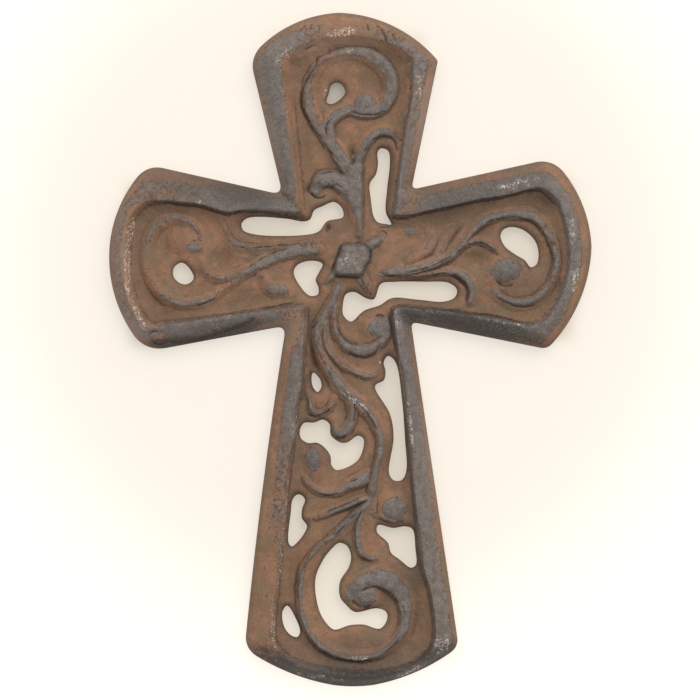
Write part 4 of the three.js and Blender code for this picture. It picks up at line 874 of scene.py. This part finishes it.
def build_casting():
    """The casting, closed by its walls and its flat back, and its front for the finish."""
    # All loops have the iron on their right: the outer edge clockwise, the gaps anticlockwise.
    loops = [anticlockwise(outer)[::-1], *map(anticlockwise, gaps)]
    front = carve_front(loops)
    wall = np.vstack(loops)
    n, count = len(front.points), len(wall)
    # The walls go down to the back in two steps, and the last leaves a small bevel.
    upper = np.minimum(front.heights[:count] - 0.2, BEVEL_TOP)
    bevelled = [shrink(loop, BEVEL) for loop in loops]
    flat, _ = hex_points(outer.min(0), outer.max(0), BACK_GRID)
    flat = clear_of(flat[on_iron(flat, bevelled)], np.vstack(bevelled), 1.2)
    back, back_faces = triangulate(bevelled, flat)
    wall_faces, start = [], 0
    for loop in loops:
        i = start + np.arange(len(loop))
        j = start + (np.arange(len(loop)) + 1) % len(loop)
        for a, b in ((0, n), (n, n + count)):
            wall_faces += [np.column_stack([a + i, a + j, b + j]),
                           np.column_stack([a + i, b + j, b + i])]
        start += len(loop)
    x, z = np.vstack([front.points, wall, back]).T
    height = np.concatenate([front.heights, upper, np.zeros(len(back))])
    faces = np.vstack([front.faces, *wall_faces, back_faces[:, ::-1] + n + count])
    mesh = bpy.data.meshes.new("iron_cross")
    mesh.from_pydata((np.column_stack([x, -height, z]) * MM).tolist(), [], faces.tolist())
    mesh.validate()
    piece = bpy.data.objects.new("iron_cross", mesh)
    bpy.context.scene.collection.objects.link(piece)
    return piece, front


# Finishes

# Colours, as shares of red, green and blue. Rust and steel each go from a dark to a light one.
RUST = (0.202, 0.115, 0.066), (0.292, 0.151, 0.087)
STEEL = (0.126, 0.112, 0.104), (0.178, 0.157, 0.144)
# painted shade: the rust's darker colour in the wide hollows
HOLLOW_SHADE_RUST = (0.112, 0.08, 0.046)
BARE_STEEL = (0.26, 0.232, 0.206)
DARK_LINES = (0.05, 0.04, 0.035)
# painted shade on the downward-facing rims
PAINTED_SHADE_BLACK = (0.045, 0.038, 0.036)
# a dark film of painted shade on the lower rims, and of darker tone elsewhere
DARK_FILM_AND_SHADE = (0.05, 0.044, 0.042)
# painted light on the outer slopes that face the lamp
PAINTED_LIGHT_TINT = (0.4, 0.32, 0.27)
# dark cracks and seams, and painted shade in the creases and along the shadow lines
CRACK_AND_CREASE_SHADE_COLOUR = (0.035, 0.025, 0.02)
DARK_GRAIN = (0.045, 0.038, 0.034)
PALE_GRAIN = (0.38, 0.31, 0.25)
# pale chips, partly painted glints
CHIP_AND_GLINT = (0.64, 0.58, 0.51)

# Scattered patches over the rust and the steel: colour, the noise that places them (size in
# millimetres, detail, roughness), where in it they begin and are full, and how strong they are.
RUST_PATCHES = {
    "olive": ((0.206, 0.138, 0.083), (7, 3, 0.55), (0.5, 0.64), 0.8),
    "red": ((0.304, 0.158, 0.096), (4.5, 4, 0.55), (0.54, 0.7), 0.7),
    "dark": ((0.13, 0.084, 0.056), (1.4, 5, 0.65), (0.52, 0.68), 0.4),
}
STEEL_PATCHES = {
    "brown": ((0.2, 0.15, 0.118), (3.2, 4, 0.55), (0.55, 0.68), 0.6),
    "dark": ((0.06, 0.052, 0.048), (0.9, 4, 0.7), (0.52, 0.66), 0.6),
}

# The ground glows a little, to be as pale as in the photo, and less so near the cross, where
# it is in its shade. Sizes are in metres.
GROUND_COLOUR = (0.32, 0.28, 0.225, 1)
GLOW = (0.97, 0.935, 0.875)
SHADED_GLOW = (0.97, 0.915, 0.81)
GLOW_RANGE = (0.09, 0.17, 0.66, 0.9)  # two distances from the crossing, and the glow at each
SHADE_DEPTH = 0.18
TOP_EYE = (-0.0046, 0.0605, 0)
EYE_SHADE = (0.0062, 0.0046, 0, 0.26)  # two distances from that eye, and the shade at each
# Half width at the crossing, how much wider it gets with the distance, and its reach.
UPRIGHT_SHADE = (0.018, 0.13, 0.116)
ARMS_SHADE = (0.016, 0.18, 0.084)
UPRIGHT_DROP = 0.03  # the middle of the upright, below the crossing


class Finish:
    """A procedural material, built node by node."""

    def __init__(self, name):
        self.material = bpy.data.materials.new(name)
        self.material.use_nodes = True
        self.tree = self.material.node_tree
        self.shader = self.tree.nodes["Principled BSDF"]
        self.place = self.add("ShaderNodeTexCoord").outputs["Object"]

    def feed(self, socket, value):
        """Links or sets one input."""
        if isinstance(value, bpy.types.NodeSocket):
            self.tree.links.new(value, socket)
        else:
            socket.default_value = value

    def add(self, kind, inputs=None, **settings):
        node = self.tree.nodes.new(kind)
        for key, value in settings.items():
            setattr(node, key, value)
        for key, value in (inputs or {}).items():
            self.feed(node.inputs[key], value)
        return node

    def noise(self, size_mm, detail=4, roughness=0.55):
        """Smooth random patches of the given size."""
        inputs = {"Vector": self.place, "Scale": 1000 / size_mm, "Detail": detail,
                  "Roughness": roughness}
        return self.add("ShaderNodeTexNoise", inputs).outputs["Fac"]

    def cells(self, size_mm):
        """The distance from scattered points, spaced at the given size."""
        inputs = {"Vector": self.place, "Scale": 1000 / size_mm}
        return self.add("ShaderNodeTexVoronoi", inputs).outputs["Distance"]

    def away_from(self, point):
        """The distance from a point."""
        node = self.add("ShaderNodeVectorMath", {0: self.place, 1: point}, operation="DISTANCE")
        return node.outputs["Value"]

    def attribute(self, name):
        return self.add("ShaderNodeAttribute", attribute_name=name).outputs["Fac"]

    def maths(self, operation, *values):
        return self.add("ShaderNodeMath", dict(enumerate(values)), operation=operation).outputs[0]

    def plus(self, first, second):
        return self.maths("ADD", first, second)

    def times(self, first, second):
        return self.maths("MULTIPLY", first, second)

    def ramp(self, value, low, high, to_low=0.0, to_high=1.0):
        inputs = {"Value": value, "From Min": low, "From Max": high, "To Min": to_low,
                  "To Max": to_high}
        return self.add("ShaderNodeMapRange", inputs, interpolation_type="SMOOTHSTEP").outputs[0]

    def mix(self, share, first, second):
        """Two colours mixed, by the share of the second."""
        node = self.add("ShaderNodeMix", {0: share}, data_type="RGBA")
        for socket, value in zip(node.inputs[6:8], (first, second)):
            self.feed(socket, (*value, 1) if isinstance(value, tuple) else value)
        return node.outputs[2]

    def wire(self, **inputs):
        """Sets the shader's own inputs."""
        for key, value in inputs.items():
            self.feed(self.shader.inputs[key.replace("_", " ")], value)


def rusted_iron():
    """Rust with grey where it is worn, and dirt, chips, painted shade, painted light and painted
    glints by the casting's attributes.
    """
    iron = Finish("rusted_iron")
    blotch, mottling = iron.noise(9, 5, 0.6), iron.noise(2.4, 5, 0.62)
    grain, fine_grain = iron.noise(0.55, 4, 0.65), iron.noise(0.34, 3, 0.7)

    def uneven(mask, coarse, fine):
        """A mask whose edge is broken up by the mottling and the grain."""
        by_mottling = iron.times(iron.maths("SUBTRACT", mottling, 0.5), coarse)
        by_grain = iron.times(iron.maths("SUBTRACT", grain, 0.5), fine)
        return iron.plus(mask, iron.plus(by_mottling, by_grain))

    def patched(colour, patches):
        """A colour with scattered patches of others."""
        for other, noise, (begin, full), strength in patches.values():
            share = iron.ramp(iron.noise(*noise), begin, full, 0, strength)
            colour = iron.mix(share, colour, other)
        return colour

    tone = iron.plus(iron.times(blotch, 0.6), iron.times(mottling, 0.4))
    rust = patched(iron.mix(iron.ramp(tone, 0.4, 0.6), *RUST), RUST_PATCHES)
    # Painted shade: the rust darker in the wide hollows.
    rust = iron.mix(iron.times(iron.attribute("hollow_shade"), 0.42), rust, HOLLOW_SHADE_RUST)
    steel = patched(iron.mix(iron.ramp(mottling, 0.38, 0.62), *STEEL), STEEL_PATCHES)
    steel = iron.mix(iron.ramp(grain, 0.46, 0.32, 0, 0.7), steel, BARE_STEEL)
    patch = iron.ramp(uneven(iron.attribute("worn"), 1.5, 1.0), 0.25, 0.75)
    colour = iron.mix(patch, rust, steel)
    # Dark, broken lines where the worn patches end.
    ending = iron.ramp(iron.times(patch, iron.maths("SUBTRACT", 1.0, patch)), 0.1, 0.23)
    ending = iron.times(ending, iron.ramp(iron.noise(1.2, 4, 0.6), 0.46, 0.54, 0, 0.8))
    colour = iron.mix(ending, colour, DARK_LINES)
    # Painted shade, painted light and a dark film, from the widest to the narrowest: painted shade
    # on the downward-facing rims, a dark film of painted shade and darker tone, painted light on
    # the outer slopes, and painted shade in the creases with the dark cracks.
    shade_black = iron.ramp(uneven(iron.attribute("painted_shade"), 1.4, 1.5), 0.3, 0.75, 0, 0.85)
    colour = iron.mix(shade_black, colour, PAINTED_SHADE_BLACK)
    colour = iron.mix(iron.attribute("grime_and_shade"), colour, DARK_FILM_AND_SHADE)
    colour = iron.mix(iron.attribute("painted_light"), colour, PAINTED_LIGHT_TINT)
    crease_shade_share = iron.ramp(uneven(iron.attribute("cracks_and_crease_shade"), 0.7, 0.7), 0.15, 0.9, 0, 0.85)
    colour = iron.mix(crease_shade_share, colour, CRACK_AND_CREASE_SHADE_COLOUR)
    # Fine grain, stronger on the steel.
    amount = iron.ramp(patch, 0, 1, 0.55, 0.8)
    darker = iron.times(iron.ramp(fine_grain, 0.5, 0.64, 0, 0.5), amount)
    lighter = iron.times(iron.ramp(fine_grain, 0.48, 0.34, 0, 0.42), amount)
    colour = iron.mix(lighter, iron.mix(darker, colour, DARK_GRAIN), PALE_GRAIN)
    # Pale chips on the crests and at the listed places, partly painted glints.
    specks = iron.ramp(iron.cells(0.8), 0.24, 0.14, 0, 0.8)
    flakes = iron.ramp(uneven(iron.noise(1.0, 6, 0.75), 0.2, 0.8), 0.54, 0.59)
    chip_and_glint_share = iron.ramp(uneven(iron.attribute("chips_and_glints"), 1.2, 0.7), 0.45, 1.0, 0, 0.85)
    bright = iron.times(iron.maths("MAXIMUM", flakes, specks), chip_and_glint_share)
    colour = iron.mix(bright, colour, CHIP_AND_GLINT)
    height = iron.plus(iron.times(grain, 0.6), mottling)
    bump = iron.add("ShaderNodeBump", {"Height": height, "Strength": 0.8, "Distance": 0.0005})
    iron.wire(Base_Color=colour, Roughness=iron.ramp(patch, 0, 1, 0.85, 0.6),
              Metallic=iron.times(patch, 0.25), Normal=bump.outputs["Normal"])
    return iron.material


def pale_ground():
    """The ground behind the cross, in more shade where it is seen through the gaps."""
    ground = Finish("pale_ground")
    glow = ground.ramp(ground.away_from((0, 0, 0)), *GLOW_RANGE)
    places = ground.add("ShaderNodeSeparateXYZ", {0: ground.place}).outputs
    x, z = (ground.maths("ABSOLUTE", places[axis]) for axis in (0, 1))
    from_middle = ground.maths("ABSOLUTE", ground.plus(places[1], UPRIGHT_DROP))

    def under(across, along, from_middle, shape):
        """The shade behind two opposite arms."""
        base, flare, reach = shape
        half = ground.maths("MULTIPLY_ADD", along, flare, base)
        within = ground.ramp(ground.maths("DIVIDE", across, half), 1.1, 0.85)
        return ground.times(within, ground.ramp(from_middle, reach, 0.88 * reach))

    shade = ground.maths("MAXIMUM", under(x, z, from_middle, UPRIGHT_SHADE),
                         under(z, x, x, ARMS_SHADE))
    glow = ground.maths("MULTIPLY_ADD", shade, -SHADE_DEPTH, glow)
    glow = ground.maths("SUBTRACT", glow, ground.ramp(ground.away_from(TOP_EYE), *EYE_SHADE))
    ground.wire(Base_Color=GROUND_COLOUR, Roughness=0.9, Emission_Strength=glow,
                Emission_Color=ground.mix(shade, GLOW, SHADED_GLOW))
    # Seen from behind it is clear, so that the cross's back can be looked at.
    clear = ground.add("ShaderNodeBsdfTransparent").outputs[0]
    behind = ground.add("ShaderNodeNewGeometry").outputs["Backfacing"]
    both = ground.add("ShaderNodeMixShader", {0: behind, 1: ground.shader.outputs[0], 2: clear})
    ground.feed(ground.tree.nodes["Material Output"].inputs[0], both.outputs[0])
    return ground.material


# Places on the casting: centre, half length, half width, turn in degrees and amount.
# Where it is worn greyer, or browner.
WEAR = {
    "corner_near_arm": ((21, 19), (5, 5), 0, -0.4),
    "leg_corner": ((-21, -26), (5, 7), 0, -0.5),
    "top_left_head": ((-29, 66), (7, 8), 0, 0.3),
    "top_right_head": ((27, 68), (6, 6), 0, 0.2),
    "right_lower_end": ((66, -25), (9, 6), 0, 0.2),
}

# Blackened places: painted shade on the rims' downward-facing slopes and under their ledges.
PAINTED_SHADE = {
    "right_lower_rim": ((46, -24), (27, 4.5), -13, 0.85),
    "left_lower_rim": ((-46, -25), (20, 3.2), 13, 0.5),
    "left_lower_line": ((-60, -28.2), (12, 1.6), 1, 1.5),
    "left_lower_line_near": ((-43.5, -25), (11, 1.6), 18, 1.5),
    "left_lower_corner": ((-66, -28.5), (5, 2), 5, 0.5),
    "left_upper_rim": ((-36, 23), (17, 4.5), -13, 0.3),
    "right_upper_rim": ((45, 22), (24, 3), 13, 0.3),
    "bottom_rim": ((0, -150), (30, 4.5), 0, 1),
    "bottom_left": ((-29, -142), (13, 5), -28, 0.75),
    "bottom_right": ((28, -142), (12, 5), 28, 0.8),
    "leg_right_top": ((20, -20), (4, 4), 0, 0.5),
}

# A thin dark film: painted shade on the lower rims and the bottom, and darker tone elsewhere.
GRIME_AND_SHADE = {
    "left_upper_rim": ((-48, 26), (30, 6), -13, 0.54),
    "right_upper_rim": ((47, 24), (28, 5), 14, 0.5),
    "right_corner": ((70, 20), (6, 6), 0, 0.2),
    "right_lower_rim": ((48, -25), (26, 5), -12, 0.4),
    "bottom_rim": ((0, -149), (34, 6), 0, 0.55),
    "left_lower_rim": ((-50, -25), (26, 4), 12, 0.2),
    "right_arm_top": ((36, 13), (10, 4), 12, 0.2),
    "foot_right": ((22, -105), (3, 22), 0, 0.2),
    "leg_channel": ((-13, -36), (2.5, 10), 0, 0.2),
    "right_upper_edge": ((62, 36), (15, 4), 13, 0.4),
    "left_upper_inner": ((-37, 25), (12, 5), -13, 0.34),
    "right_upper_inner": ((31, 24), (8, 6), 0, 0.25),
    "stem_foot": ((-6.5, 12), (5, 6), 0, 0.3),
    "right_scroll": ((60, -5), (12, 11), 0, 0.22),
    "right_branch": ((45, -13), (8, 4), 0, 0.2),
    "leg_left_branch": ((-13, -68), (9, 12), 0, 0.24),
    "foot_right_field": ((18, -113), (6, 8), 0, 0.3),
    "foot_rim": ((0, -139), (26, 6), 0, 0.32),
    "foot_corner": ((18, -150), (8, 3), 0, 0.35),
}

# A thin pale film: painted light on the outer slopes and lips that face the lamp.
PAINTED_LIGHT = {
    "top_right_side": ((30, 52), (5, 18), -12, 0.42),
    "top_left_side": ((-31, 45), (5, 18), 12, 0.36),
    "top_rim": ((-6, 76), (18, 5), 0, 0.14),
    "left_end": ((-82, 0), (3.5, 26), 0, 0.16),
    "left_end_low": ((-80, -26), (6, 7), 0, 0.4),
    "leg_corner": ((-25, -25), (10, 6), 0, 0.22),
    "leg_right": ((31, -70), (5, 26), 7, 0.34),
    "right_arm_root": ((31, 3), (6, 7), 0, 0.16),
}

# Pale chips, partly painted glints on the crests.
CHIPS_AND_GLINTS = {
    "top_rim": ((-1.8, 81.5), (5, 1.6), 4, 1.3),
    "top_rim_left": ((-10, 79), (7, 1.4), 12, 0.3),
    "top_scroll_peak": ((0.5, 75.5), (1.4, 1.2), 0, 1),
    "top_eye": ((-8.3, 60.3), (0.5, 2.4), -20, 1),
    "top_left": ((-22, 73), (5, 2), 35, 0.75),
    "top_left_side": ((-20.5, 58), (1.4, 10), 4, 0.35),
    "top_right_side": ((25.5, 64), (1.6, 9), -12, 0.6),
    "left_end_high": ((-78.2, 12), (1.2, 5), -12, 1.3),
    "left_end": ((-79.4, 0), (1.2, 9), 0, 1.3),
    "left_end_low": ((-76.5, -17), (1.2, 9), 22, 0.85),
    "left_upper": ((-53, 22), (3, 1.6), 0, 0.65),
    "right_upper": ((60, 26.5), (9, 1.6), 12, 0.8),
    "right_end": ((79, 10), (1.5, 9), 8, 0.5),
    "right_end_low": ((80, -8), (1.5, 6), -8, 0.65),
    "right_lower": ((58, -24), (16, 3.5), -12, 0.38),
    "leg_right": ((20.5, -59), (0.8, 8), 6, 1.3),
    "leg_right_upper": ((17.2, -40), (0.7, 6), 7, 0.7),
    "leg_left_mid": ((-20.2, -57), (0.8, 8), -7, 0.9),
    "leg_right_low": ((31, -137), (3, 5), 0, 0.75),
    "leg_right_top": ((16.5, -21), (2.2, 5), 0, 0.55),
    "foot_arc": ((-4, -142), (10, 1.1), 0, 0.6),
    "bottom": ((-14, -148), (12, 1.6), -10, 0.45),
    "bottom_right": ((20, -146.5), (7, 1.6), 24, 0.7),
    "leg_left": ((-25.5, -100), (0.8, 30), -6, 0.85),
    "leg_left_low": ((-29, -132), (1.2, 12), 3, 0.5),
    "left_lower": ((-45, -20), (10, 1.5), 10, 0.35),
    "boss": ((-1, 0), (5, 4), 0, 0.65),
    "leg_stem": ((1, -50), (8, 1), -42, 0.95),
    "leg_crescent": ((8.5, -36), (6, 1), -20, 0.5),
}


def painted(points, places):
    """The total of some soft oval patches over each point."""
    total = np.zeros(len(points))
    for at, half, turn, amount in places.values():
        u, v = place_in(points, at, half, turn)
        total += amount * np.exp(-((u * u + v * v) ** 1.5))
    return total


def dress(piece, front):
    """Wear, dirt and chips, with painted shade, painted light and painted glints, kept on the
    casting's points for its finish to read.
    """
    points, faces, heights, worn, dark, gap = front
    edges = np.vstack([faces[:, [0, 1]], faces[:, [1, 2]], faces[:, [2, 0]]])
    edges = np.vstack([edges, edges[:, ::-1]])
    count = np.maximum(np.bincount(edges[:, 0], minlength=len(heights)), 1)

    def over_mean(times):
        """How far each point stands over the mean of those around it, out to some edges."""
        mean = heights
        for _ in range(times):
            mean = np.bincount(edges[:, 0], mean[edges[:, 1]], len(heights)) / count
        return heights - mean

    def keep(name, values):
        full = np.zeros(len(piece.data.vertices), np.float32)
        full[:len(values)] = values
        piece.data.attributes.new(name, "FLOAT", "POINT").data.foreach_set("value", full)

    near, wide, widest = over_mean(3), over_mean(14), over_mean(60)
    worn = worn + 0.15 * ramp(wide, 0.1, 0.6) - 0.3 * ramp(-wide, 0.05, 0.5) + painted(points, WEAR)
    keep("worn", np.clip(worn, 0, 1.2) * ramp(gap, 0.3, 1.0))
    # painted shade on the downward-facing rims
    keep("painted_shade", np.clip(painted(points, PAINTED_SHADE), 0, 1))
    # painted shade in the creases, with the dark seams, cracks and painted shadow lines
    keep("cracks_and_crease_shade", np.clip(0.6 * ramp(-near, 0.03, 0.25) + dark, 0, 1))
    # painted shade in the wide hollows
    keep("hollow_shade", ramp(-widest, 0.1, 0.9))
    # pale chips at the listed places and on the crests, partly painted glints
    chips_and_glints = painted(points, CHIPS_AND_GLINTS) + 0.36 * ramp(near, 0.01, 0.1) - 0.1
    keep("chips_and_glints", np.clip(chips_and_glints, 0, 1.2))
    # a dark film: painted shade on the lower rims and darker tone elsewhere
    keep("grime_and_shade", np.clip(painted(points, GRIME_AND_SHADE), 0, 0.8))
    # painted light on the outer slopes
    keep("painted_light", np.clip(painted(points, PAINTED_LIGHT), 0, 0.8))


# The scene

CREASE = math.radians(40)  # a sharper fold than this stays sharp
GROUND_SIZE = 6
GROUND_BEHIND = 0.0006  # behind the flat back
VIEW_CENTRE = (-0.6, -31.8)
VIEW_WIDTH = 250.4
VIEW_DISTANCE = 1.6
VIEW_ROLL = math.radians(0.75)
SENSOR = 36
FRONT_DEPTH = 0.004  # the view's width is measured this far in front of the back
WINDOW_AT, WINDOW_AIM = Vector((0.6, -1.65, 1.1)), Vector((0, 0, -0.03))
WINDOW_SIZE = (2.0, 1.6)
WINDOW_POWER = 25
WINDOW_COLOUR = (1.0, 0.97, 0.93)
ROOM_COLOUR = (1.0, 0.965, 0.92, 1)
ROOM_RAMP = {"From Min": -0.7, "From Max": 0.8, "To Min": 0.5, "To Max": 1.06}

casting, front = build_casting()
dress(casting, front)
casting.data.materials.append(rusted_iron())
bpy.ops.object.select_all(action="DESELECT")
casting.select_set(True)
bpy.context.view_layer.objects.active = casting
bpy.ops.object.shade_smooth_by_angle(angle=CREASE)
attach(casting, "root")
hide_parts("cross_casting")

bpy.ops.object.select_all(action="DESELECT")
bpy.ops.mesh.primitive_plane_add(size=GROUND_SIZE, location=(0, GROUND_BEHIND, 0),
                                 rotation=(math.pi / 2, 0, 0))
ground = bpy.context.object
ground.name = "pale_ground"
ground.data.materials.append(pale_ground())
ground.visible_shadow = False

scene = bpy.context.scene
lens = bpy.data.cameras.new("view")
lens.sensor_width = SENSOR
lens.lens = SENSOR * VIEW_DISTANCE / (VIEW_WIDTH * MM)
camera = bpy.data.objects.new("view", lens)
scene.collection.objects.link(camera)
camera.location = (VIEW_CENTRE[0] * MM, -VIEW_DISTANCE - FRONT_DEPTH, VIEW_CENTRE[1] * MM)
camera.rotation_euler = (math.pi / 2, VIEW_ROLL, 0)
scene.camera = camera

lamp = bpy.data.lights.new("window", "AREA")
lamp.shape = "RECTANGLE"
lamp.size, lamp.size_y = WINDOW_SIZE
lamp.energy = WINDOW_POWER
lamp.color = WINDOW_COLOUR
window = bpy.data.objects.new("window", lamp)
scene.collection.objects.link(window)
window.location = WINDOW_AT
window.rotation_euler = (WINDOW_AIM - WINDOW_AT).to_track_quat("-Z", "Y").to_euler()
window.visible_camera = False

# The room is brighter overhead.
scene.world = bpy.data.worlds.new("room")
scene.world.use_nodes = True
room = scene.world.node_tree
height = room.nodes.new("ShaderNodeSeparateXYZ")
room.links.new(room.nodes.new("ShaderNodeTexCoord").outputs["Generated"], height.inputs[0])
sky = room.nodes.new("ShaderNodeMapRange")
for socket, value in ROOM_RAMP.items():
    sky.inputs[socket].default_value = value
room.links.new(height.outputs["Z"], sky.inputs["Value"])
room.links.new(sky.outputs[0], room.nodes["Background"].inputs["Strength"])
room.nodes["Background"].inputs["Color"].default_value = ROOM_COLOUR
scene.view_settings.view_transform = "Standard"
